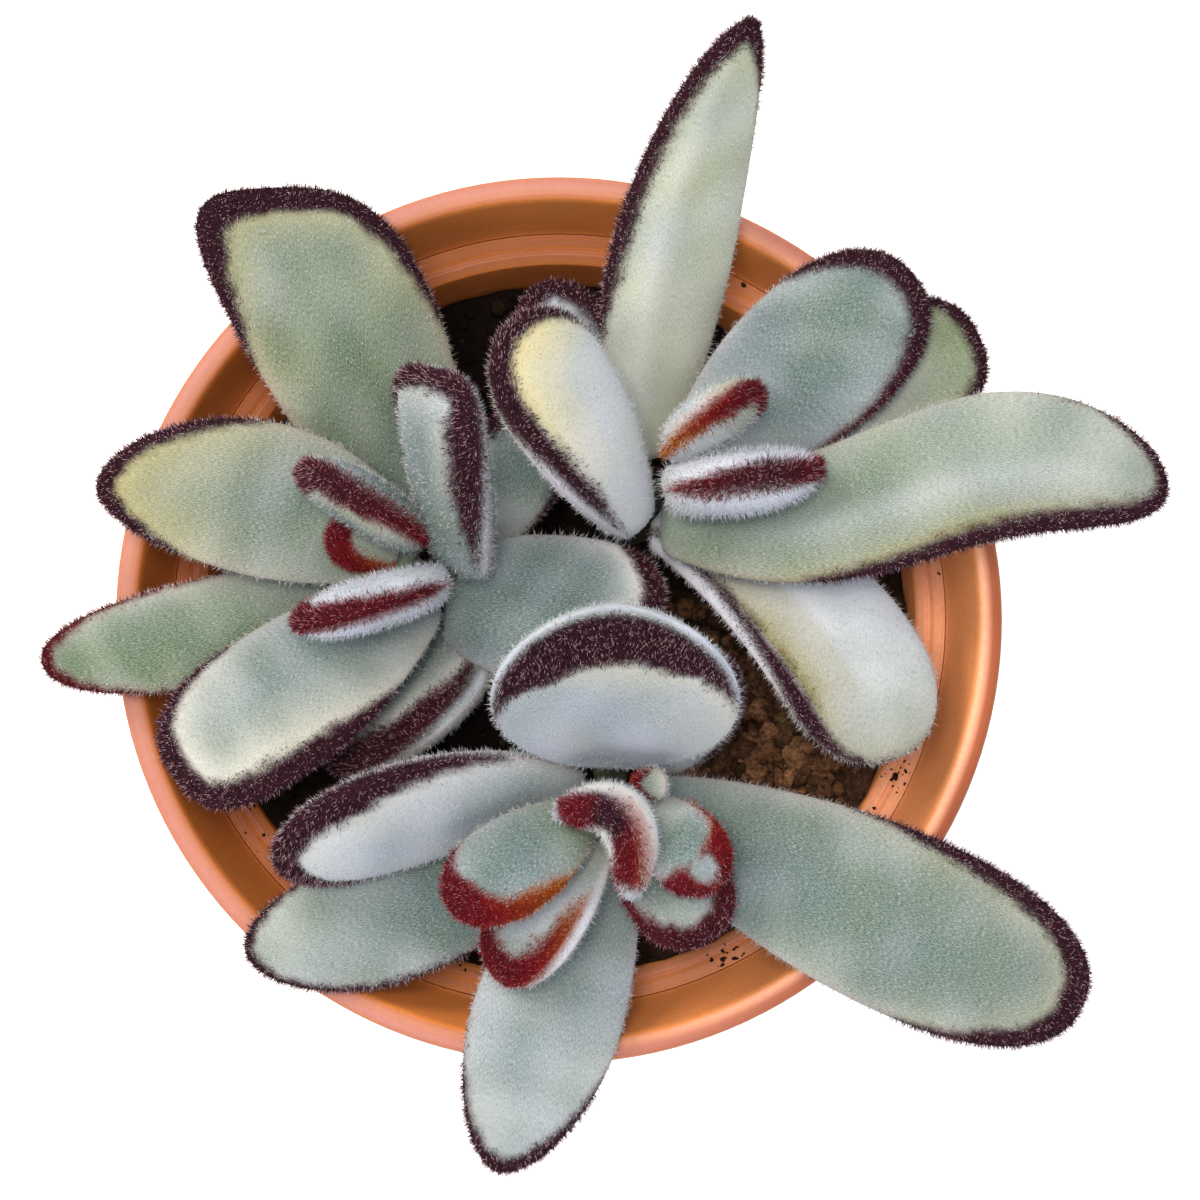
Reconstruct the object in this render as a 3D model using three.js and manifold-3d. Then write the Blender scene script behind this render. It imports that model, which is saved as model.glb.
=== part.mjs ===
// A potted panda plant (Kalanchoe tomentosa): three felted stems with thick, spoon-shaped leaves, in a
// moulded flower pot filled with potting mix. Millimetres, +Z up. The origin is the middle of the pot's
// underside. Each leaf is its own closed body that stops just short of the stem it grows from.
import * as THREE from "three";
import { mergeVertices } from "three/addons/utils/BufferGeometryUtils.js";
import Module from "manifold-3d";

const wasm = await Module();
wasm.setup();

// ---------------------------------------------------------------- driving dimensions

const GAP = 0.32; // clearance between pieces that touch on the real plant

const POT = {
  rimRadius: 55, // outside of the collar at the top
  height: 100,
  collarHeight: 20,
  collarStep: 4.4, // how far the collar stands out from the body below it
  collarTaper: 1.2, // how much narrower the collar is at its lower edge
  baseRadius: 37,
  baseEdge: 0.8, // bevel round the underside
  wall: 2.4,
  floor: 4,
  floorFillet: 1.8, // slope between floor and wall inside
  lipRadius: 52.2, // inner edge of the flat lip
  lipFall: 0.6, // bevel at that edge
  ledgeOuterRadius: 48.9,
  ledgeInnerRadius: 45.2,
  ledgeDepth: 14, // from the lip down to the outside of the inner ledge
  ledgeFall: 1.6, // how far the ledge slopes down to its inner edge
  ledgeGroove: 0.3, // depth of the groove that runs round the middle of the ledge
  edgeRadius: 1.2, // rounding of the collar's outer edge
  segments: 72,
  holeRadius: 4,
  holeSides: 16,
  holeCircle: 21,
  holes: 6,
};

const SOIL = {
  top: 79, // mean height of its surface
  slope: 0.16, // it lies lower towards +Y
  lump: 0.9, // height of its larger lumps
  smallLump: 0.54,
  segments: 40,
  rings: 9,
};

const STEM = {
  sides: 10,
  rings: 7,
  baseRadius: 3.4,
  topRadius: 2.4,
  buried: 20, // length that stands in the soil
  leanPower: 1.4, // more than 1 keeps the foot of the stem upright
  bud: 3, // height of the round growing tip
};

// Each stem goes from a point at the soil's surface to its growing tip.
const STEMS = {
  stem_west: { foot: [-11, 4], tip: [-14, 6.5, 102] },
  stem_east: { foot: [9, 12], tip: [12, 16, 103] },
  stem_south: { foot: [6, -17], tip: [7, -22, 106] },
};

// What a leaf has unless its own row says otherwise.
const LEAF = {
  thick: 4.4,
  bow: 2, // height of the arch of its middle line over the straight line from root to tip
  sway: 0, // sideways bend of that line, to the left seen from the root
  snake: 0, // sideways S-bend of that line, first to the left
  roll: 0, // degrees by which its left margin is turned up
  cup: 0, // how far the margins stand above the middle of the upper face
  widest: 0.62, // where it is widest, from 0 at the root to 1 at the tip
  neck: 0.3, // width at the root, as a share of the full width
  blunt: 2.1, // 2 is a round tip, less is more pointed
};

const LEAF_RINGS = 9;
const LEAF_SIDES = 10;

// Roots and tips in millimetres, from the oldest leaf at the bottom to the youngest at the top.
const LEAVES = {
  leaf_west_01: { root: [-17.4, 7.2, 90], tip: [-63, -5, 106.5], width: 12.8, sway: 1.6, widest: 0.6 },
  leaf_west_02: {
    root: [-16, 10.6, 92.5], tip: [-35, 50.6, 114],
    width: 22.5, widest: 0.64, bow: 1, blunt: 2.6, sway: -1,
  },
  leaf_west_03: { root: [-12, 1.6, 93], tip: [-28.5, -17.5, 99], width: 15.5, roll: 35, bow: 1, sway: 3 },
  leaf_west_04: { root: [-10.6, 9, 94], tip: [-1.5, 26, 99], width: 12 },
  leaf_west_05: {
    root: [-17.8, 7.8, 99.8], tip: [-56, 16, 109],
    width: 19, widest: 0.5, blunt: 1.8, sway: -3,
  },
  leaf_west_06: { root: [-16.2, 3.4, 98.8], tip: [-46.5, -19, 109], width: 19, roll: 18, blunt: 2.6 },
  leaf_west_07: {
    root: [-10.8, 3.6, 98.4], tip: [12.6, 6.6, 103],
    width: 18, thick: 5, neck: 0.6, sway: -2.8, widest: 0.4,
  },
  leaf_west_08: { root: [-17, 6.8, 103.2], tip: [-28, 11, 106.9], width: 6.5, thick: 2.6, bow: 0.5 },
  leaf_west_09: { root: [-17.2, 9.8, 106], tip: [-30.8, 18.6, 116], width: 10, thick: 6, roll: -75 },
  leaf_west_10: { root: [-14.4, 5.2, 106.4], tip: [-31.8, -0.4, 114], width: 9.5, thick: 6, roll: 70 },
  leaf_west_11: { root: [-10.6, 8.4, 105], tip: [-14.2, 29, 121], width: 14.5, thick: 6.8, roll: -55 },

  leaf_east_01: { root: [7.2, 17.6, 89.5], tip: [-2, 42, 95.5], width: 13 },
  leaf_east_02: {
    root: [15.6, 17.6, 91.2], tip: [51.3, 34.8, 106.5],
    width: 17, widest: 0.74, bow: 1, blunt: 2.4,
  },
  leaf_east_03: {
    root: [11.2, 20.2, 93.5], tip: [23.5, 72, 117],
    width: 15.8, sway: 3, roll: 22, widest: 0.45, blunt: 1.7,
  },
  leaf_east_04: {
    root: [14.4, 12.6, 97], tip: [43.4, -13.6, 106],
    width: 22, roll: -22, sway: 2.6, widest: 0.8, blunt: 3.2,
  },
  leaf_east_05: { root: [15.8, 19, 97.5], tip: [43, 42, 110], width: 19.4, widest: 0.6, blunt: 2.3 },
  leaf_east_06: {
    root: [15.8, 13.4, 104], tip: [73, 16.5, 116],
    width: 18.5, sway: 1, snake: -2.8, roll: -15, neck: 0.45,
  },
  leaf_east_07: {
    root: [9.8, 12, 107], tip: [-6, 35, 121],
    width: 19, thick: 6, roll: 40, sway: -0.8, widest: 0.7,
  },
  leaf_east_08: { root: [14, 20.6, 108.2], tip: [24.3, 28.2, 115.4], width: 9.5, thick: 5.4, roll: 65 },
  leaf_east_09: { root: [15, 16.6, 108], tip: [31.6, 18.4, 114], width: 9, thick: 6.2, roll: -80 },

  leaf_south_01: { root: [3.8, -23.6, 90], tip: [-38.5, -40.4, 103], width: 16.5, sway: 3, blunt: 1.9 },
  leaf_south_02: { root: [6.2, -25.6, 96], tip: [-7.5, -67.5, 105], width: 18.5, widest: 0.58, blunt: 1.9 },
  leaf_south_03: { root: [10.4, -22.6, 99], tip: [63.5, -46.5, 111], width: 22, bow: 3, blunt: 2.3 },
  leaf_south_04: { root: [10.7, -18.2, 96], tip: [21, -3.5, 108], width: 14, thick: 4 },
  leaf_south_05: {
    root: [2.9, -21.4, 100.6], tip: [-34, -29.6, 111],
    width: 18.5, thick: 6.6, roll: -48, sway: -2.4,
  },
  leaf_south_06: {
    root: [6.8, -16.6, 103.5], tip: [7, 2, 131],
    width: 29.5, thick: 6, cup: 2.5, widest: 0.58,
  },
  leaf_south_07: { root: [3.6, -23.2, 106.5], tip: [-13, -34.5, 115], width: 12.5, thick: 4.6, roll: 20 },
  leaf_south_08: { root: [5, -25.2, 102.9], tip: [-7, -44, 108.4], width: 12, thick: 4, cup: 2, roll: 15 },
  leaf_south_09: { root: [9.7, -25, 104], tip: [18.5, -38.5, 110], width: 13, thick: 4, cup: 2.5 },
  leaf_south_10: { root: [10.6, -22.6, 107.5], tip: [19.6, -31.7, 115], width: 10, thick: 3.4 },
  leaf_south_11: { root: [9.6, -19.8, 109], tip: [13, -19.5, 115], width: 4, thick: 2.4, bow: 0 },
  leaf_south_12: { root: [6.2, -24.2, 111.4], tip: [8.4, -21.4, 123], width: 14, thick: 4, cup: 7, bow: 0 },
};

// ---------------------------------------------------------------- materials

const material = (color, roughness) => new THREE.MeshStandardMaterial({ color, roughness, metalness: 0 });
const potPlastic = () => material(0xc4733f, 0.45);
const pottingMix = () => material(0x2a1d15, 0.95);
const stemFelt = () => material(0x9aa08a, 0.9);
const leafFelt = () => material(0xa9bba9, 0.9);

// ---------------------------------------------------------------- helpers

function geometryFrom(points, triangles) {
  const geometry = new THREE.BufferGeometry();
  geometry.setAttribute("position", new THREE.BufferAttribute(new Float32Array(points), 3));
  geometry.setIndex(triangles);
  return geometry;
}

function solidFrom(geometry) {
  const bare = geometry.clone();
  bare.deleteAttribute("normal");
  bare.deleteAttribute("uv");
  const merged = mergeVertices(bare, 1e-4);
  const vertProperties = merged.attributes.position.array;
  const triVerts = new Uint32Array(merged.index.array);
  return new wasm.Manifold(new wasm.Mesh({ numProp: 3, vertProperties, triVerts }));
}

function geometryOf(solid) {
  const { vertProperties, triVerts } = solid.getMesh();
  return geometryFrom(vertProperties, Array.from(triVerts));
}

// Closes a stack of rings, each an array of points, with a pole at either end. Rings run anticlockwise seen
// from the second pole.
function skin(firstPole, rings, lastPole) {
  const sides = rings[0].length;
  const points = [firstPole, ...rings.flat(), lastPole];
  const last = points.length - 1;
  const at = (ring, side) => 1 + ring * sides + (side % sides);
  const triangles = [];
  for (let side = 0; side < sides; side++) {
    triangles.push(0, at(0, side + 1), at(0, side));
    for (let ring = 0; ring < rings.length - 1; ring++) {
      const [a, b] = [at(ring, side), at(ring, side + 1)];
      const [c, d] = [at(ring + 1, side), at(ring + 1, side + 1)];
      triangles.push(a, b, d, a, d, c);
    }
    triangles.push(at(rings.length - 1, side), at(rings.length - 1, side + 1), last);
  }
  return geometryFrom(points.flatMap((p) => p.toArray()), triangles);
}

const vector = (xyz) => new THREE.Vector3(...xyz);
const UP = new THREE.Vector3(0, 0, 1);

// ---------------------------------------------------------------- leaves

// A bump that is 0 at both ends of the leaf and 1 in the middle.
const arch = (u) => 4 * u * (1 - u);

// Half width along the leaf: it swells soon from the neck to the widest place, then closes in a round tip.
function widthShare(u, leaf) {
  const swell = Math.sin((Math.PI / 2) * Math.min(1, Math.max(0, u / leaf.widest))) ** 0.75;
  if (u < leaf.widest) return leaf.neck + (1 - leaf.neck) * swell;
  const q = (u - leaf.widest) / (1 - leaf.widest);
  return (1 - q ** leaf.blunt) ** (1 / leaf.blunt);
}

// Thickness along the leaf: nearly even, and round at the tip.
const thickShare = (u) => (0.8 + 0.2 * Math.sin(Math.PI * u)) * Math.sqrt(1 - u ** 7);

// The straight frame of a leaf: along, left and upper-face directions before it bends.
function leafFrame(leaf) {
  const along = vector(leaf.tip).sub(vector(leaf.root)).normalize();
  const flatLeft = UP.clone().cross(along).normalize();
  const flatUp = along.clone().cross(flatLeft);
  const roll = THREE.MathUtils.degToRad(leaf.roll);
  const left = flatLeft.clone().multiplyScalar(Math.cos(roll)).addScaledVector(flatUp, Math.sin(roll));
  return { along, flatLeft, flatUp, left };
}

function leafMiddle(u, leaf, frame) {
  return vector(leaf.root)
    .lerp(vector(leaf.tip), u)
    .addScaledVector(frame.flatUp, leaf.bow * arch(u))
    .addScaledVector(frame.flatLeft, leaf.sway * arch(u) + leaf.snake * Math.sin(2 * Math.PI * u));
}

// One section across the leaf: a lens, fuller below than above, whose margins may stand up.
function leafRing(u, leaf, frame) {
  const step = 0.01;
  const middle = leafMiddle(u, leaf, frame);
  const along = leafMiddle(u + step, leaf, frame).sub(leafMiddle(u - step, leaf, frame)).normalize();
  const left = frame.left.clone().addScaledVector(along, -frame.left.dot(along)).normalize();
  const up = along.clone().cross(left);
  const halfWidth = (leaf.width / 2) * widthShare(u, leaf);
  const thickness = leaf.thick * thickShare(u);
  const ring = [];
  for (let side = 0; side < LEAF_SIDES; side++) {
    const angle = (2 * Math.PI * side) / LEAF_SIDES;
    const across = Math.cos(angle);
    const height = Math.sin(angle) * thickness * (Math.sin(angle) > 0 ? 0.42 : 0.58);
    const lift = leaf.cup * widthShare(u, leaf) * across ** 2;
    ring.push(
      middle
        .clone()
        .addScaledVector(left, halfWidth * across)
        .addScaledVector(up, height + lift),
    );
  }
  return ring;
}

function leafGeometry(row) {
  const leaf = { ...LEAF, ...row };
  const frame = leafFrame(leaf);
  const rings = [];
  for (let ring = 0; ring < LEAF_RINGS; ring++) {
    const u = 1 - (1 - ring / LEAF_RINGS) ** 1.5; // closer together near the tip
    rings.push(leafRing(u, leaf, frame));
  }
  return skin(leafMiddle(0, leaf, frame), rings, leafMiddle(1, leaf, frame));
}

// ---------------------------------------------------------------- soil and stems

// Height of the potting mix at a place: a gentle slope with lumps of two sizes.
function soilHeight(x, y) {
  const coarse = Math.sin(x * 0.31 + 1.3) * Math.cos(y * 0.27 - 0.4);
  const fine = Math.sin(x * 0.83 - y * 0.41) * Math.sin(y * 0.97 + x * 0.22);
  return SOIL.top - SOIL.slope * y + SOIL.lump * coarse + SOIL.smallLump * fine;
}

const innerRadius = (z) => {
  const ledge = POT.height - POT.ledgeDepth - POT.ledgeFall;
  const share = (z - POT.floor) / (ledge - POT.floor);
  return THREE.MathUtils.lerp(POT.baseRadius - POT.wall, POT.ledgeInnerRadius, share);
};

function tubeAlong(path, radiusAt, rings, sides, capRise) {
  const made = [];
  const start = path(0);
  for (let ring = 0; ring <= rings; ring++) {
    const u = ring / rings;
    const middle = path(u);
    const radius = radiusAt(u);
    const points = [];
    for (let side = 0; side < sides; side++) {
      const angle = (2 * Math.PI * side) / sides;
      points.push(new THREE.Vector3(Math.cos(angle) * radius, Math.sin(angle) * radius, 0).add(middle));
    }
    made.push(points);
  }
  return skin(start, made, path(1).add(new THREE.Vector3(0, 0, capRise)));
}

// The middle line of a stem: upright in the soil, then leaning over to its tip.
function stemPath(stem) {
  const ground = soilHeight(...stem.foot);
  const foot = new THREE.Vector3(...stem.foot, ground - STEM.buried);
  const tip = vector(stem.tip);
  const lean = ([x, y]) => new THREE.Vector3(x, y, 0);
  return (u) => {
    const z = THREE.MathUtils.lerp(foot.z, tip.z, u);
    const over = Math.max(0, (z - ground) / (tip.z - ground));
    return lean(stem.foot).lerp(lean(stem.tip), over ** STEM.leanPower).setZ(z);
  };
}

const stemRadius = (u) => THREE.MathUtils.lerp(STEM.baseRadius, STEM.topRadius, u);

function stemGeometry(stem) {
  return tubeAlong(stemPath(stem), stemRadius, STEM.rings, STEM.sides, STEM.bud);
}

// The plain hole that a stem stands in, a gap wider and deeper than the stem.
function stemHole(stem) {
  const path = stemPath(stem);
  const clear = GAP / Math.cos(Math.PI / STEM.sides); // so that the flats of the hole keep the gap too
  const lower = new THREE.Vector3(0, 0, GAP);
  const widened = (u) => path(u).sub(lower.clone().multiplyScalar(1 - u));
  return tubeAlong(widened, (u) => stemRadius(u) + clear, STEM.rings, STEM.sides, STEM.bud + GAP);
}

function soilGeometry() {
  const bottom = POT.floor + GAP;
  const rings = [];
  const ringAt = (radiusAt, heightAt) => {
    const points = [];
    for (let i = 0; i < SOIL.segments; i++) {
      const angle = (2 * Math.PI * i) / SOIL.segments;
      const radius = radiusAt(angle);
      const [x, y] = [Math.cos(angle) * radius, Math.sin(angle) * radius];
      points.push(new THREE.Vector3(x, y, heightAt(x, y)));
    }
    return points;
  };
  rings.push(ringAt(() => POT.baseRadius - POT.wall - POT.floorFillet - GAP, () => bottom));
  const aboveFillet = POT.floor + POT.floorFillet;
  rings.push(ringAt(() => innerRadius(aboveFillet) - GAP, () => aboveFillet + GAP));
  // The edge of the surface follows the wall, so its radius depends on its height.
  const edge = (angle) => {
    const guess = innerRadius(SOIL.top);
    const z = soilHeight(Math.cos(angle) * guess, Math.sin(angle) * guess);
    return innerRadius(z) - 2 * GAP;
  };
  for (let ring = SOIL.rings; ring > 0; ring--) {
    rings.push(ringAt((angle) => (edge(angle) * ring) / SOIL.rings, soilHeight));
  }
  const filled = skin(new THREE.Vector3(0, 0, bottom), rings, new THREE.Vector3(0, 0, soilHeight(0, 0)));
  const holes = Object.values(STEMS).map((stem) => solidFrom(stemHole(stem)));
  return holes.reduce((solid, hole) => solid.subtract(hole), solidFrom(filled));
}

// ---------------------------------------------------------------- pot

function potProfile() {
  const collarBottom = POT.height - POT.collarHeight;
  const collarRadius = POT.rimRadius - POT.collarTaper;
  const ledgeTop = POT.height - POT.ledgeDepth;
  const ledgeEdge = ledgeTop - POT.ledgeFall;
  const grooveRadius = (POT.ledgeOuterRadius + POT.ledgeInnerRadius) / 2;
  const grooveZ = (ledgeTop + ledgeEdge) / 2;
  const round = POT.edgeRadius;
  const soft = 0.3 * POT.edgeRadius; // what a quarter circle leaves at its middle
  const points = [
    [0, 0],
    [POT.baseRadius - POT.baseEdge, 0],
    [POT.baseRadius, POT.baseEdge],
    [collarRadius - POT.collarStep, collarBottom],
    [collarRadius - soft, collarBottom + soft],
    [collarRadius, collarBottom + round],
    [POT.rimRadius, POT.height - round],
    [POT.rimRadius - soft, POT.height - soft],
    [POT.rimRadius - round, POT.height],
    [POT.lipRadius, POT.height],
    [POT.lipRadius - POT.lipFall, POT.height - POT.lipFall],
    [POT.ledgeOuterRadius + soft, ledgeTop + soft],
    [POT.ledgeOuterRadius, ledgeTop],
    [grooveRadius + POT.ledgeGroove, grooveZ],
    [grooveRadius, grooveZ - POT.ledgeGroove],
    [grooveRadius - POT.ledgeGroove, grooveZ - POT.ledgeGroove],
    [POT.ledgeInnerRadius, ledgeEdge],
    [innerRadius(POT.floor + POT.floorFillet), POT.floor + POT.floorFillet],
    [POT.baseRadius - POT.wall - POT.floorFillet, POT.floor],
    [0, POT.floor],
  ];
  return points.map(([radius, z]) => new THREE.Vector2(radius, z));
}

function potGeometry() {
  const body = solidFrom(new THREE.LatheGeometry(potProfile(), POT.segments).rotateX(Math.PI / 2));
  const drilled = Array.from({ length: POT.holes }, (_, i) => {
    const angle = (2 * Math.PI * (i + 0.5)) / POT.holes;
    const hole = new THREE.CylinderGeometry(POT.holeRadius, POT.holeRadius, 3 * POT.floor, POT.holeSides);
    hole.rotateX(Math.PI / 2);
    hole.translate(Math.cos(angle) * POT.holeCircle, Math.sin(angle) * POT.holeCircle, 0);
    return solidFrom(hole);
  });
  return geometryOf(drilled.reduce((solid, hole) => solid.subtract(hole), body));
}

// ---------------------------------------------------------------- assembly

const plant = new THREE.Group();

function addPiece(name, geometry, finish) {
  const mesh = new THREE.Mesh(geometry, finish);
  mesh.name = name;
  plant.add(mesh);
}

addPiece("pot", potGeometry(), potPlastic());
addPiece("soil", geometryOf(soilGeometry()), pottingMix());
for (const [name, stem] of Object.entries(STEMS)) addPiece(name, stemGeometry(stem), stemFelt());
for (const [name, leaf] of Object.entries(LEAVES)) addPiece(name, leafGeometry(leaf), leafFelt());

export default plant;
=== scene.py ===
# %% [markdown]
# # A potted panda plant
# Kalanchoe tomentosa is a small succulent. Three stems stand in one flower pot, and each carries a
# rosette of thick leaves. White hairs make the leaves look like felt, and dark brown fur runs along their
# margins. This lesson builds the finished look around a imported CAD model. That model fixes where every
# leaf, stem, the soil and the pot are, so each piece here is made at its final place, in metres, and
# stands for one CAD node.

# %% Load the frame
import bpy
import numpy as np
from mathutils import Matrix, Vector


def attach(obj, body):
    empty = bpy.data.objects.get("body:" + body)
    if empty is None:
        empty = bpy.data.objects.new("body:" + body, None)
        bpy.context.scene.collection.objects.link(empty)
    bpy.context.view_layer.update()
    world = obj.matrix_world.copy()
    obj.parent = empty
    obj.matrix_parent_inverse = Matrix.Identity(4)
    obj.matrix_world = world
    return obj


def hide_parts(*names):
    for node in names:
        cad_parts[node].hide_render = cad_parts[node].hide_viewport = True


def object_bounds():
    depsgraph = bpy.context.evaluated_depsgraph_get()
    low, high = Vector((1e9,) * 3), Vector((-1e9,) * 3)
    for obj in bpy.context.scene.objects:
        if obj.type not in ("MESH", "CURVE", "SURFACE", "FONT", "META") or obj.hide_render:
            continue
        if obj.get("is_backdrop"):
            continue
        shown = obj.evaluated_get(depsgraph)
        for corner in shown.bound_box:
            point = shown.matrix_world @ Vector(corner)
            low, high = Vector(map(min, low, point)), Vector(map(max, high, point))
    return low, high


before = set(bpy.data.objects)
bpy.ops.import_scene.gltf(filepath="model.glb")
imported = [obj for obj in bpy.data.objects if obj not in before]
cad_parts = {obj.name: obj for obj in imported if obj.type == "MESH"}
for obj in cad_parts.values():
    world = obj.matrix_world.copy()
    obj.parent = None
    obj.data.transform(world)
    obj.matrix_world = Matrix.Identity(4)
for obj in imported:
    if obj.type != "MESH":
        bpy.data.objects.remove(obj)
cad_low, cad_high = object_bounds()
print("CAD box in mm:", [round(v * 1000, 1) for v in (*cad_low, *cad_high)])

# %% [markdown]
# ## Small tools
# Sizes are written in millimetres, as a gardener or a pot maker would give them, and turned to metres in
# one place. Colours are sRGB hex values, and Blender's sockets want linear light, so one function
# converts them. One small function adds a shader node with its settings and links. A colour is then
# built as a painter builds it, in thin layers, and each material ends in a shader with its bumps. Another
# function turns arrays of points and faces into a mesh, with any values that the material reads stored on
# the points. Shapes come from rings of points, so one closes a stack of rings with a pole at each end.

# %% Tools for colours, nodes and meshes
MM = 0.001


def linear(hex_colour):
    """sRGB to linear: a channel above 0.04045 is ((c + 0.055) / 1.055) to the power 2.4, else c / 12.92."""
    c = np.array([int(hex_colour[i : i + 2], 16) / 255 for i in (1, 3, 5)])
    c = np.where(c > 0.04045, ((c + 0.055) / 1.055) ** 2.4, c / 12.92)
    return (*c.tolist(), 1.0)


def turns(count):
    """Even angles round a full turn."""
    return np.linspace(0, 2 * np.pi, count, endpoint=False)


def add(tree, kind, inputs=None, **settings):
    """Adds a shader node. An input is linked where its value is a socket, and set where it is a number or
    a hex colour."""
    node = tree.nodes.new("ShaderNode" + kind)
    for name, value in settings.items():
        setattr(node, name, value)
    for socket, value in (inputs or {}).items():
        if isinstance(value, bpy.types.NodeSocket):
            tree.links.new(value, node.inputs[socket])
        else:
            node.inputs[socket].default_value = linear(value) if isinstance(value, str) else value
    return node


def paint(tree, colour, *layers):
    """The colour under thin layers of paint. Each layer is a share and the colour that shows where the share
    is 1. A share is a socket, or a row for Map Range: the socket, the values where the layer starts and is
    full, and its least and most share where these aren't 0 and 1."""
    for share, over in layers:
        if isinstance(share, tuple):
            share = add(tree, "MapRange", dict(enumerate(share))).outputs[0]
        colour = add(tree, "Mix", {0: share, 6: colour, 7: over}, data_type="RGBA").outputs[2]
    return colour


def surface(tree, sockets, height, depth, strength=1.0):
    """The shader with its colour and constants, bumps of depth mm, and the output."""
    bump = add(tree, "Bump", {"Height": height, "Distance": depth * MM, "Strength": strength})
    shader = add(tree, "BsdfPrincipled", {**sockets, "Normal": bump.outputs[0]})
    add(tree, "OutputMaterial", {"Surface": shader.outputs[0]})


def empty_material(name):
    """A material with no nodes yet, and its tree."""
    material = bpy.data.materials.new(name)
    material.use_nodes = True
    tree = material.node_tree
    tree.nodes.clear()
    return material, tree


def mesh_piece(name, points, quads, triangles, material, values=None):
    """A mesh object from points in mm. values holds one number for each point, by attribute name."""
    mesh = bpy.data.meshes.new(name)
    points = np.asarray(points, np.float32)
    mesh.vertices.add(len(points))
    mesh.vertices.foreach_set("co", (points * MM).ravel())
    quads = np.asarray(quads, np.int32).reshape(-1, 4)
    triangles = np.asarray(triangles, np.int32).reshape(-1, 3)
    mesh.loops.add(quads.size + triangles.size)
    mesh.loops.foreach_set("vertex_index", np.concatenate([quads.ravel(), triangles.ravel()]))
    starts = [np.arange(len(quads)) * 4, quads.size + np.arange(len(triangles)) * 3]
    mesh.polygons.add(len(quads) + len(triangles))
    mesh.polygons.foreach_set("loop_start", np.concatenate(starts).astype(np.int32))
    mesh.update(calc_edges=True)
    for key, numbers in (values or {}).items():
        layer = mesh.attributes.new(key, "FLOAT", "POINT")
        layer.data.foreach_set("value", np.asarray(numbers, np.float32))
    mesh.polygons.foreach_set("use_smooth", np.ones(len(mesh.polygons), bool))
    mesh.materials.append(material)
    piece = bpy.data.objects.new(name, mesh)
    bpy.context.scene.collection.objects.link(piece)
    return piece


def skin_faces(rings, sides):
    """Quads and triangles that close a stack of rings between two poles. Point 0 is the first pole, the
    last point is the last pole, and rings run anticlockwise seen from the last pole."""
    at = 1 + np.arange(rings * sides).reshape(rings, sides)
    after = np.roll(at, -1, axis=1)
    quads = np.stack([at[:-1], after[:-1], after[1:], at[1:]], axis=-1).reshape(-1, 4)
    first = np.stack([np.zeros(sides, int), after[0], at[0]], axis=-1)
    last = np.stack([at[-1], after[-1], np.full(sides, rings * sides + 1)], axis=-1)
    return quads, np.concatenate([first, last])


def with_poles(first, grid, last):
    """Points of a grid of rings with its two poles, in the order that skin_faces expects."""
    rows = [np.reshape(part, (-1, grid.shape[-1])) for part in (first, grid, last)]
    return np.concatenate(rows)


def smoothstep(low, high, x):
    """0 below low, 1 above high, and 3 t squared minus 2 t cubed between."""
    t = np.clip((x - low) / (high - low), 0, 1)
    return t * t * (3 - 2 * t)


def triangle_count(piece):
    return sum(len(p.vertices) - 2 for p in piece.data.polygons)


# %% [markdown]
# ## Camera, floor and light
# The plant is seen from straight above, from half a metre over the rim, as a gardener sees it on a table.
# A long lens keeps the leaves near the camera from growing too large. The floor is plain and nearly
# white. A large soft key light stands to the upper left, so one inside of the pot lies in shade and the
# other is lit, and the pot's colour paints more light and shade over that. A smaller light nearly
# overhead draws the shadows between the leaves, a weak one opposite the key softens them, and a bright
# room fills the rest.

# %% Camera
EYE = (5.1, 2.5, 600)  # mm
LENS = 121.35
SENSOR = 36

camera_data = bpy.data.cameras.new("camera")
camera_data.lens = LENS
camera_data.sensor_width = SENSOR
camera_data.clip_start = 0.01
camera = bpy.data.objects.new("camera", camera_data)
camera.location = [v * MM for v in EYE]
bpy.context.scene.collection.objects.link(camera)
bpy.context.scene.camera = camera
print("view is", round(SENSOR / LENS * EYE[2]), "mm wide at the table")

# %% Floor
FLOOR_SIZE = 6000  # mm
FLOOR_GLOW = 0.4  # a light table: it keeps shadows faint

paper, tree = empty_material("white_paper")
shader = add(tree, "BsdfPrincipled", {"Base Color": "#f4f3f1", "Roughness": 0.8, "Emission Color": "#ffffff",
                                      "Emission Strength": FLOOR_GLOW})
add(tree, "OutputMaterial", {"Surface": shader.outputs[0]})
half = FLOOR_SIZE / 2
corners = [(-half, -half, 0), (half, -half, 0), (half, half, 0), (-half, half, 0)]
floor = mesh_piece("floor", corners, [(0, 1, 2, 3)], [], paper)
floor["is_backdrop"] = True

# %% Lights
LIGHTS = {  # where from in mm, seen from the rim's middle, the square's side in mm, and watts
    "key_light": ((-600, 500, 720), 500, 7.6),
    "top_light": ((-70, 110, 900), 260, 5.8),
    "fill_light": ((-150, -650, 650), 400, 2.2),
}
AIM_HEIGHT = 100  # mm
ROOM_STRENGTH = 0.88
WARM_WHITE, SKY_WHITE = "#fff3e2", "#e6edff"


def soft_light(name, offset, size, power):
    """A square area light that faces the middle of the rim."""
    data = bpy.data.lights.new(name, "AREA")
    data.energy = power
    data.color = linear(WARM_WHITE)[:3]
    data.size = size * MM
    lamp = bpy.data.objects.new(name, data)
    lamp.location = Vector(offset) * MM + Vector((0, 0, AIM_HEIGHT * MM))
    lamp.rotation_euler = Vector(offset).to_track_quat("Z", "Y").to_euler()
    bpy.context.scene.collection.objects.link(lamp)


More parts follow.
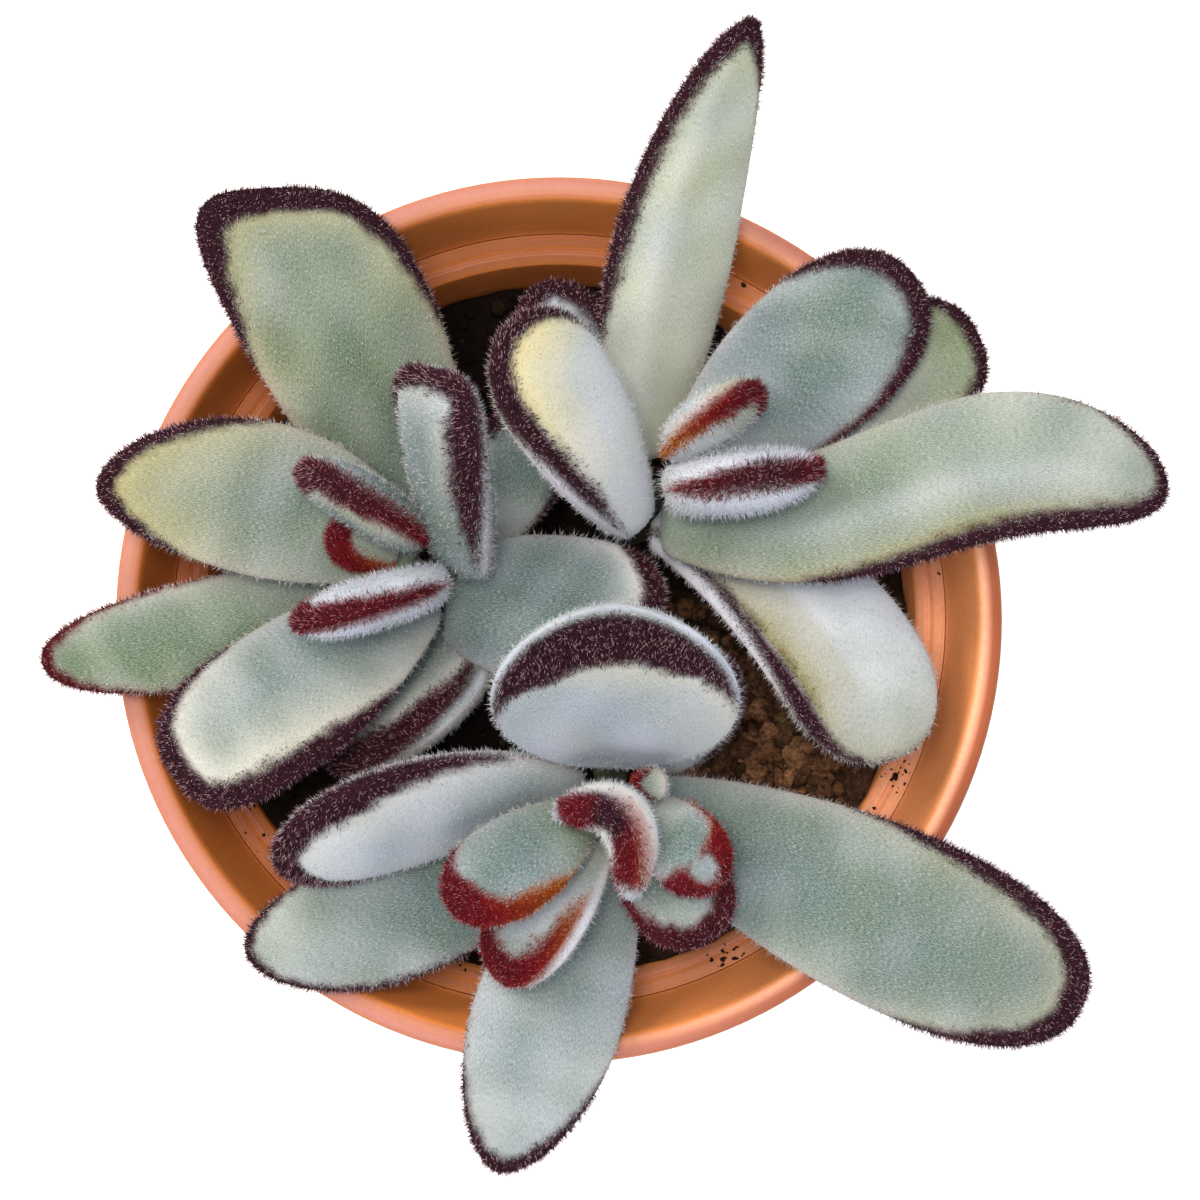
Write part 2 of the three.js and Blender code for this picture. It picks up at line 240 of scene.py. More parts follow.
for name, (offset, size, power) in LIGHTS.items():
    soft_light(name, offset, size, power)
room = bpy.data.worlds.new("bright_room")
room.use_nodes = True
room.node_tree.nodes["Background"].inputs["Color"].default_value = linear(SKY_WHITE)
room.node_tree.nodes["Background"].inputs["Strength"].default_value = ROOM_STRENGTH
bpy.context.scene.world = room
bpy.context.scene.view_settings.view_transform = "Standard"
print("lights:", ", ".join(LIGHTS), "and a bright room")

# %% [markdown]
# ## The pot
# The pot is moulded from terracotta-coloured plastic. A pot like this is a body of revolution: one
# profile, drawn once with its corners rounded as the mould rounds them, is turned round the pot's axis.
# Spin and Screw would do it too, but a grid of points closes itself, with no doubles to merge. Its sizes
# are the real ones: 110 mm across the rim and 100 mm high, with a 20 mm collar, a flat lip and a ledge
# inside.

# %% Pot profile
RIM, HEIGHT, COLLAR, COLLAR_STEP, COLLAR_TAPER = 55, 100, 20, 4.4, 1.2
BASE, WALL, FLOOR_THICKNESS, FILLET = 37, 2.4, 4, 1.8
LIP, LEDGE_OUTER, LEDGE_INNER, LEDGE_DEPTH, LEDGE_FALL = 52.2, 48.9, 45.2, 14, 1.6
POT_SIDES = 144


def rounded(corners, arc_points):
    """Rows of radius, height and rounding. Each corner becomes a parabola that starts and ends the
    rounding's length from the corner: (1 - t) squared from, plus 2 t (1 - t) corner, plus t squared to."""
    rows = np.array(corners, float)
    path = [rows[0, :2]]
    for before, corner, after in zip(rows[:-2], rows[1:-1], rows[2:]):
        here, cut = corner[:2], corner[2]
        start = here + (before[:2] - here) * cut / np.linalg.norm(before[:2] - here)
        end = here + (after[:2] - here) * cut / np.linalg.norm(after[:2] - here)
        t = np.linspace(0, 1, arc_points)[:, None]
        path.extend((1 - t) ** 2 * start + 2 * t * (1 - t) * here + t**2 * end)
    path.append(rows[-1, :2])
    return np.array(path)


def finely(path, step):
    """The same profile with points no further apart than step."""
    pieces = [np.linspace(a, b, max(2, int(np.ceil(np.linalg.norm(b - a) / step)) + 1))[:-1]
              for a, b in zip(path[:-1], path[1:])]
    return np.concatenate([*pieces, path[-1:]])


def inner_radius(z):
    """Radius inside the wall below the ledge, straight from the floor to the ledge."""
    share = (z - FLOOR_THICKNESS) / (HEIGHT - LEDGE_DEPTH - LEDGE_FALL - FLOOR_THICKNESS)
    return (BASE - WALL) + share * (LEDGE_INNER - (BASE - WALL))


collar_low = HEIGHT - COLLAR
ledge_z = HEIGHT - LEDGE_DEPTH
groove = (LEDGE_OUTER + LEDGE_INNER) / 2
POT_CORNERS = [  # radius, height, rounding, from the middle of the underside to the middle of the floor
    (0, 0, 0),
    (BASE, 0, 0.9),
    (RIM - COLLAR_TAPER - COLLAR_STEP, collar_low - 0.3, 0.8),
    (RIM - COLLAR_TAPER, collar_low, 0.9),
    (RIM, HEIGHT, 1.3),
    (LIP, HEIGHT, 0.5),
    (LIP - 0.4, HEIGHT - 1.2, 0.3),
    (LEDGE_OUTER + 0.3, ledge_z + 0.6, 0.5),
    (LEDGE_OUTER - 0.2, ledge_z - 0.1, 0.4),
    (groove + 0.5, ledge_z - 0.55, 0.2),
    (groove, ledge_z - 1.25, 0.25),
    (groove - 0.5, ledge_z - 0.95, 0.2),
    (LEDGE_INNER + 0.1, ledge_z - LEDGE_FALL, 0.5),
    (inner_radius(FLOOR_THICKNESS), FLOOR_THICKNESS, 1.5),
    (0, FLOOR_THICKNESS, 0),
]
profile = finely(rounded(POT_CORNERS, 4), 3.2)
print("pot profile has", len(profile), "points")

# %% [markdown]
# Terracotta-coloured polypropylene is dyed through and a little glossy. The mould was turned on a lathe,
# so the lip and the ledge carry fine rings, half a millimetre apart, that catch the light. The dye is not
# quite even. Light and shade are painted into the colour too: the inside is painted brighter than the
# outside, lighter still on the east and darker on the west, and the outside is painted darker on the
# east. The level faces are paler, partly with dust from the potting mix and partly with a painted sheen.

# %% Terracotta plastic
RING_SPACING, CLOUD_SIZE, SPECK_SIZE = 0.5, 14, 0.6  # mm
EAST_LIGHT_AND_SHADE, WEST_PAINTED_SHADE = (10, 45), (-15, -45)  # mm towards the east, where the painted light and shade on each side start and where they are full
WALL_EDGE, FOOT_EDGE = 0.5, (2, 1)  # mm over which inside turns to outside, at the wall and at the foot
DUST_AND_SHEEN, GRAIN = 0.85, 0.14  # how much dust and painted sheen cover level faces, and dark grain all over
pot_plastic, tree = empty_material("terracotta_polypropylene")
place = add(tree, "TexCoord").outputs["Object"]
clouds, specks = (
    add(tree, "TexNoise", {"Vector": place, "Scale": 1 / (size * MM), "Detail": detail}).outputs["Fac"]
    for size, detail in ((CLOUD_SIZE, 3), (SPECK_SIZE, 2)))
rings = add(tree, "TexWave", {"Vector": place, "Scale": 2 * np.pi / (20 * RING_SPACING * MM),
                              "Distortion": 0.4}, wave_type="RINGS", rings_direction="Z", wave_profile="SIN")
radius = add(tree, "VectorMath", {0: place, 1: (1, 1, 0)}, operation="MULTIPLY").outputs[0]
radius = add(tree, "VectorMath", {0: radius}, operation="LENGTH").outputs["Value"]
up = add(tree, "SeparateXYZ", {0: place}).outputs["Z"]
foot, shoulder = BASE - WALL / 2, RIM - COLLAR_TAPER - COLLAR_STEP - WALL / 2
wall_middle = add(tree, "MapRange", {0: up, 1: 0, 2: (HEIGHT - COLLAR) * MM, 3: foot * MM,
                                     4: shoulder * MM}).outputs[0]
step_out = add(tree, "MapRange", {0: up, 1: (HEIGHT - LEDGE_DEPTH - 2) * MM, 2: (HEIGHT - LEDGE_DEPTH) * MM,
                                  3: 0, 4: (LIP + 1 - shoulder) * MM}).outputs[0]
wall_middle = add(tree, "Math", {0: wall_middle, 1: step_out}, operation="ADD").outputs[0]
beyond = add(tree, "Math", {0: radius, 1: wall_middle}, operation="SUBTRACT").outputs[0]
beyond = add(tree, "MapRange", {0: beyond, 1: -WALL_EDGE * MM, 2: WALL_EDGE * MM}).outputs[0]
under = add(tree, "MapRange", {0: up, 1: FOOT_EDGE[0] * MM, 2: FOOT_EDGE[1] * MM}).outputs[0]
outside = add(tree, "Math", {0: beyond, 1: under}, operation="MAXIMUM").outputs[0]
east = add(tree, "VectorMath", {0: place, 1: (1, -0.2, 0)}, operation="DOT_PRODUCT").outputs["Value"]
east_light_and_shade, west_painted_shade = (add(tree, "MapRange", {0: east, 1: start * MM, 2: full * MM}).outputs[0]
                for start, full in (EAST_LIGHT_AND_SHADE, WEST_PAINTED_SHADE))
# Painted light and shade: the inside is painted brighter than the plastic, more so on the east, and darker
# on the west.
inside_painted_light_and_shade = paint(tree, "#f28f43", (clouds, "#f39a55"), (east_light_and_shade, "#ffa86c"), (west_painted_shade, "#cf7434"))
# Painted shade: the outside is darker on the east.
outside_with_painted_shade = paint(tree, "#b06234", (clouds, "#bb7046"), (east_light_and_shade, "#9a501e"))
# Level faces take pale dust and a painted pink sheen; on the east it is painted lighter inside and darker
# outside.
inside_dust_and_sheen = paint(tree, "#a3644a", (east_light_and_shade, "#f0a886"))
outside_dust_and_sheen = paint(tree, "#b3776a", (east_light_and_shade, "#a05434"))
dust_and_sheen = paint(tree, inside_dust_and_sheen, (outside, outside_dust_and_sheen))
facing = add(tree, "SeparateXYZ", {0: add(tree, "NewGeometry").outputs["Normal"]}).outputs["Z"]
base = paint(tree, inside_painted_light_and_shade, (outside, outside_with_painted_shade), ((facing, 0.5, 0.95, 0, DUST_AND_SHEEN), dust_and_sheen),
             ((specks, 0.3, 0.7, 0, GRAIN), "#8a4a26"))
gloss = add(tree, "MapRange", {0: clouds, 3: 0.42, 4: 0.56}).outputs[0]
height = add(tree, "Mix", {0: 0.7, 2: specks, 3: rings.outputs["Fac"]}).outputs[0]
surface(tree, {"Base Color": base, "Roughness": gloss, "IOR": 1.49, "Specular IOR Level": 0.35},
        height, 0.03, 0.35)
print("terracotta:", len(tree.nodes), "nodes, with rings", RING_SPACING, "mm apart")


# %% [markdown]
# The profile is turned round the axis as whole arrays. The base has six round drain holes. They go right
# through a flat floor, which a Boolean modifier does cleanly, so they are cut that way and the result is
# kept as the pot's mesh.

# %% Turn the pot, with its drain holes
def lathe(profile, sides):
    """Rings of points: radius times the cosine and sine of an even turn, at the profile's height."""
    turn = turns(sides)
    grid = np.empty((len(profile), sides, 3))
    grid[..., 0] = profile[:, :1] * np.cos(turn)
    grid[..., 1] = profile[:, :1] * np.sin(turn)
    grid[..., 2] = profile[:, 1:]
    return grid


grid = lathe(profile[1:-1], POT_SIDES)
quads, triangles = skin_faces(len(grid), POT_SIDES)
points = with_poles([0, 0, profile[0, 1]], grid, [0, 0, profile[-1, 1]])
pot = mesh_piece("terracotta_pot", points, quads, triangles, pot_plastic)
DRAIN_RADIUS, DRAIN_CIRCLE, DRAINS, DRAIN_SIDES = 4, 21, 6, 32
turn = 2 * np.pi * (np.arange(DRAINS) + 0.5) / DRAINS
side = turns(DRAIN_SIDES)
rim_points = np.stack([np.cos(side), np.sin(side)], axis=-1) * DRAIN_RADIUS
cutter_points, cutter_quads, cutter_triangles = [], [], []
for centre in np.stack([np.cos(turn), np.sin(turn)], axis=-1) * DRAIN_CIRCLE:
    tube = np.zeros((2, DRAIN_SIDES, 3))
    tube[..., :2] = centre + rim_points
    tube[1, :, 2] = 2 * FLOOR_THICKNESS
    tube[0, :, 2] = -FLOOR_THICKNESS
    quads, triangles = skin_faces(2, DRAIN_SIDES)
    offset = sum(len(p) for p in cutter_points)
    cutter_points.append(with_poles([*centre, -FLOOR_THICKNESS], tube, [*centre, 2 * FLOOR_THICKNESS]))
    cutter_quads.append(quads + offset)
    cutter_triangles.append(triangles + offset)
cutter = mesh_piece("drain_cutter", np.concatenate(cutter_points), np.concatenate(cutter_quads),
                    np.concatenate(cutter_triangles), pot_plastic)
drill = pot.modifiers.new("drain_holes", "BOOLEAN")
drill.operation = "DIFFERENCE"
drill.object = cutter
drill.solver = "EXACT"
bpy.context.view_layer.update()
drilled = bpy.data.meshes.new_from_object(pot.evaluated_get(bpy.context.evaluated_depsgraph_get()))
pot.modifiers.clear()
pot.data = drilled
bpy.data.objects.remove(cutter)
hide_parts("pot")
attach(pot, "root")
print("pot:", triangle_count(pot), "triangles")

# %% [markdown]
# ## The soil
# Potting mix is peat and bark. Its surface is uneven, and lies lower towards the back of the pot. The
# solid has the gentle slope and lumps of the CAD soil. Finer lumps are added by a sum of waves in random
# directions, which costs one line of arithmetic and has no seams.

# %% Soil surface
SOIL_TOP, SOIL_SLOPE, SOIL_LUMP, SOIL_SMALL_LUMP = 79, 0.16, 0.9, 0.54
CLOD, SMALL_CLOD = 0.55, 0.28  # mm, their heights
SOIL_GAP, WALL_GAP = 0.3, 1  # mm of height, at the pot's floor and where the edge meets the wall
chance = np.random.default_rng(7)


def waves(x, y, size, count, seed):
    """A bumpy field: count cosines of random direction and phase, size mm from crest to crest, added up and
    divided by the square root of count."""
    draw = np.random.default_rng(seed)
    turn = draw.uniform(0, 2 * np.pi, count)
    wave = 2 * np.pi / (size * draw.uniform(0.6, 1.5, count))
    phase = draw.uniform(0, 2 * np.pi, count)
    across = x[..., None] * np.cos(turn) + y[..., None] * np.sin(turn)
    return np.cos(across * wave + phase).sum(-1) / np.sqrt(count)


def soil_ground(x, y):
    """The CAD soil's height: a slope plus lumps of two sizes."""
    coarse = np.sin(x * 0.31 + 1.3) * np.cos(y * 0.27 - 0.4)
    fine = np.sin(x * 0.83 - y * 0.41) * np.sin(y * 0.97 + x * 0.22)
    return SOIL_TOP - SOIL_SLOPE * y + SOIL_LUMP * coarse + SOIL_SMALL_LUMP * fine


def soil_height(x, y):
    """The ground with clods of 5 and 2 mm added."""
    return soil_ground(x, y) + CLOD * waves(x, y, 5, 9, 1) + SMALL_CLOD * waves(x, y, 2, 12, 2)


SOIL_SIDES, SOIL_RINGS = 168, 70
turn = turns(SOIL_SIDES)
edge = np.full(SOIL_SIDES, inner_radius(SOIL_TOP))
for _ in range(3):  # the wall slopes, so the edge's radius and height depend on each other
    edge = inner_radius(soil_ground(edge * np.cos(turn), edge * np.sin(turn)) - WALL_GAP)
shares = np.linspace(1, 1 / SOIL_RINGS, SOIL_RINGS)[:, None]
x = shares * edge * np.cos(turn)
y = shares * edge * np.sin(turn)
top = np.stack([x, y, soil_height(x, y)], axis=-1)
low_radius = BASE - WALL - FILLET - 0.5
low_z = FLOOR_THICKNESS + SOIL_GAP
low = np.stack([low_radius * np.cos(turn), low_radius * np.sin(turn), np.full(SOIL_SIDES, low_z)], -1)
grid = np.concatenate([low[None], top])
middle = soil_height(np.zeros(1), np.zeros(1))[0]
soil_points = with_poles([0, 0, low_z], grid, [0, 0, middle])
soil_quads, soil_triangles = skin_faces(len(grid), SOIL_SIDES)
print("the soil's top lies", top[..., 2].min().round(1), "to", top[..., 2].max().round(1), "mm high")


# %% [markdown]
# Loose pieces of bark and peat lie on the surface. Each is a small rough stone shape of twenty faces, so
# hundreds of them stay light. A piece is drawn at a random size, squashed, turned and sunk by a third.

# %% Crumbs of bark and peat
def crumb_shape():
    """The twelve corners and twenty faces of an icosahedron of radius 1."""
    g = (1 + 5**0.5) / 2
    corners = [(-1, g, 0), (1, g, 0), (-1, -g, 0), (1, -g, 0), (0, -1, g), (0, 1, g),
               (0, -1, -g), (0, 1, -g), (g, 0, -1), (g, 0, 1), (-g, 0, -1), (-g, 0, 1)]
    faces = [(0, 11, 5), (0, 5, 1), (0, 1, 7), (0, 7, 10), (0, 10, 11), (1, 5, 9), (5, 11, 4), (11, 10, 2),
             (10, 7, 6), (7, 1, 8), (3, 9, 4), (3, 4, 2), (3, 2, 6), (3, 6, 8), (3, 8, 9), (4, 9, 5),
             (2, 4, 11), (6, 2, 10), (8, 6, 7), (9, 8, 1)]
    return np.array(corners) / np.hypot(1, g), np.array(faces)


def crumbs(places, sizes, draw):
    """Rough lumps at the places: corners pushed in and out by up to a third, squashed, turned at random."""
    corners, faces = crumb_shape()
    count = len(places)
    rough = corners * draw.uniform(0.65, 1.15, (count, CORNERS, 1))
    rough *= draw.uniform(0.45, 1.1, (count, 1, 3)) * sizes[:, None, None]
    spin = np.linalg.qr(draw.normal(size=(count, 3, 3)))[0]
    spin *= np.linalg.det(spin)[:, None, None]  # a turn, never a mirror
    points = rough @ spin + places[:, None, :]
    triangles = faces + CORNERS * np.arange(count)[:, None, None]
    return points.reshape(-1, 3), triangles.reshape(-1, 3)


CORNERS = 12
CRUMBS, CHIPS = 2300, 700  # in all, and those thrown on the bark's side
CRUMB_REACH = 42.5  # mm from the pot's axis
CHIP_X, CHIP_Y = (8, 36), (-26, 2)  # mm
CRUMB_SIZE, CRUMB_GROWTH = 0.35, 1.5  # mm, the least, and what the largest adds
radius = np.sqrt(chance.uniform(0, 1, CRUMBS)) * CRUMB_REACH
turn = chance.uniform(0, 2 * np.pi, CRUMBS)
x, y = radius * np.cos(turn), radius * np.sin(turn)
x[:CHIPS], y[:CHIPS] = chance.uniform(*CHIP_X, CHIPS), chance.uniform(*CHIP_Y, CHIPS)
size = CRUMB_SIZE + CRUMB_GROWTH * chance.uniform(0, 1, CRUMBS) ** 3.2
bark_and_lit_side = smoothstep(-5, 30, x) * smoothstep(14, -8, y)  # coarse bark lies on this side, where light falls; its brown there is partly painted light
size *= 1 + 0.6 * bark_and_lit_side
places = np.stack([x, y, soil_height(x, y) + 0.15 * size], axis=-1)
crumb_points, crumb_triangles = crumbs(places, size, chance)
bark = np.clip(chance.uniform(-0.6, 0.25, CRUMBS) + bark_and_lit_side, 0, 1)
print(CRUMBS, "crumbs, up to", (2 * size.max()).round(1), "mm across")

# %% [markdown]
# Damp peat is almost black, and here it is painted darker still, near black, as painted shade under the
# leaves. Bark is reddish brown, with lighter broken faces, and a few lumps are mossy. Towards the lit
# side there is more bark, and its brown there is partly painted light. One number on each point says
# how much of it is bark, and another varies its tint, so one material shows all.

# %% Potting mix
GRIT = 0.8  # mm
potting_mix, tree = empty_material("peat_and_bark")
place = add(tree, "TexCoord").outputs["Object"]
bark_share = add(tree, "Attribute", attribute_name="bark").outputs["Fac"]
tint = add(tree, "Attribute", attribute_name="tint").outputs["Fac"]
grain = add(tree, "TexNoise", {"Vector": place, "Scale": 1 / (GRIT * MM), "Detail": 6,
                               "Roughness": 0.75}).outputs["Fac"]
rough = (grain, 0.34, 0.66)
tan, russet, mossy = (paint(tree, hollow, (rough, high)) for hollow, high in (
    ("#120c08", "#a87c58"), ("#100c08", "#7c5038"), ("#16180c", "#6c6c40")))
brown = paint(tree, tan, (tint, russet), ((tint, 0.8, 0.9, 0, 0.6), mossy))
# Painted shade: the peat is near black, darker than damp peat, for the shade under the leaves.
base = paint(tree, "#060403", (grain, "#1c130d"), (bark_share, brown))
surface(tree, {"Base Color": base, "Roughness": 0.9, "Specular IOR Level": 0.15}, grain, 0.5)

offset = len(soil_points)
# The soil surface is browner towards the lit side, partly as painted light.
soil_bark_and_light = 0.35 * smoothstep(0, 30, soil_points[:, 0]) * smoothstep(14, -8, soil_points[:, 1])
soil = mesh_piece("potting_mix", np.concatenate([soil_points, crumb_points]), soil_quads,
                  np.concatenate([soil_triangles, crumb_triangles + offset]), potting_mix,
                  {"bark": np.concatenate([soil_bark_and_light, np.repeat(bark, CORNERS)]),
                   "tint": np.concatenate([soil_bark_and_light, np.repeat(chance.uniform(0, 1, CRUMBS), CORNERS)])})
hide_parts("soil")
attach(soil, "root")
print("soil:", triangle_count(soil), "triangles")

# %% [markdown]
# A few crumbs were spilled when the plant was potted and lie on the pot's inner ledge, in loose clusters.

# %% Spilled crumbs
SPILLS = [  # middle in mm, spread, count
    ((42.6, -19.4), 1.3, 26), ((44.4, -20.2), 1.0, 14), ((20.6, -43.4), 1.7, 34), ((22.4, -43.8), 1.6, 18),
    ((48.0, 7.0), 1.4, 7), ((44.6, -16.4), 2.2, 9), ((43.6, -22.6), 2.0, 12), ((25.0, -41.0), 2.6, 12),
    ((-14.6, -44.6), 2.4, 12), ((-39.0, -24.6), 2.2, 10), ((-36.4, -29.6), 2.6, 14), ((23.6, 42.4), 1.0, 3),
    ((-45.6, 12.0), 1.6, 5), ((36.0, -31.0), 3.0, 9), ((4.0, -47.2), 2.6, 7),
]
SPILL_SIZE, SPILL_GROWTH = 0.12, 0.5  # mm
spots = np.concatenate([np.array(middle) + chance.normal(0, spread, (count, 2))
                        for middle, spread, count in SPILLS])
distance = np.clip(np.hypot(*spots.T), LEDGE_INNER + 0.5, LEDGE_OUTER - 0.3)
spots *= (distance / np.hypot(*spots.T))[:, None]
size = SPILL_SIZE + SPILL_GROWTH * chance.uniform(0, 1, len(spots)) ** 2.5
ledge_height = np.interp(distance, [LEDGE_INNER, LEDGE_OUTER], [ledge_z - LEDGE_FALL, ledge_z])
places = np.column_stack([spots, ledge_height + 0.3 * size - 0.25])
spill_points, spill_triangles = crumbs(places, size, chance)
spilled = mesh_piece("spilled_crumbs", spill_points, [], spill_triangles, potting_mix,
                     {"bark": np.full(len(spill_points), 0.1), "tint": np.zeros(len(spill_points))})
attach(spilled, "root")
print("spilled crumbs:", len(spots))
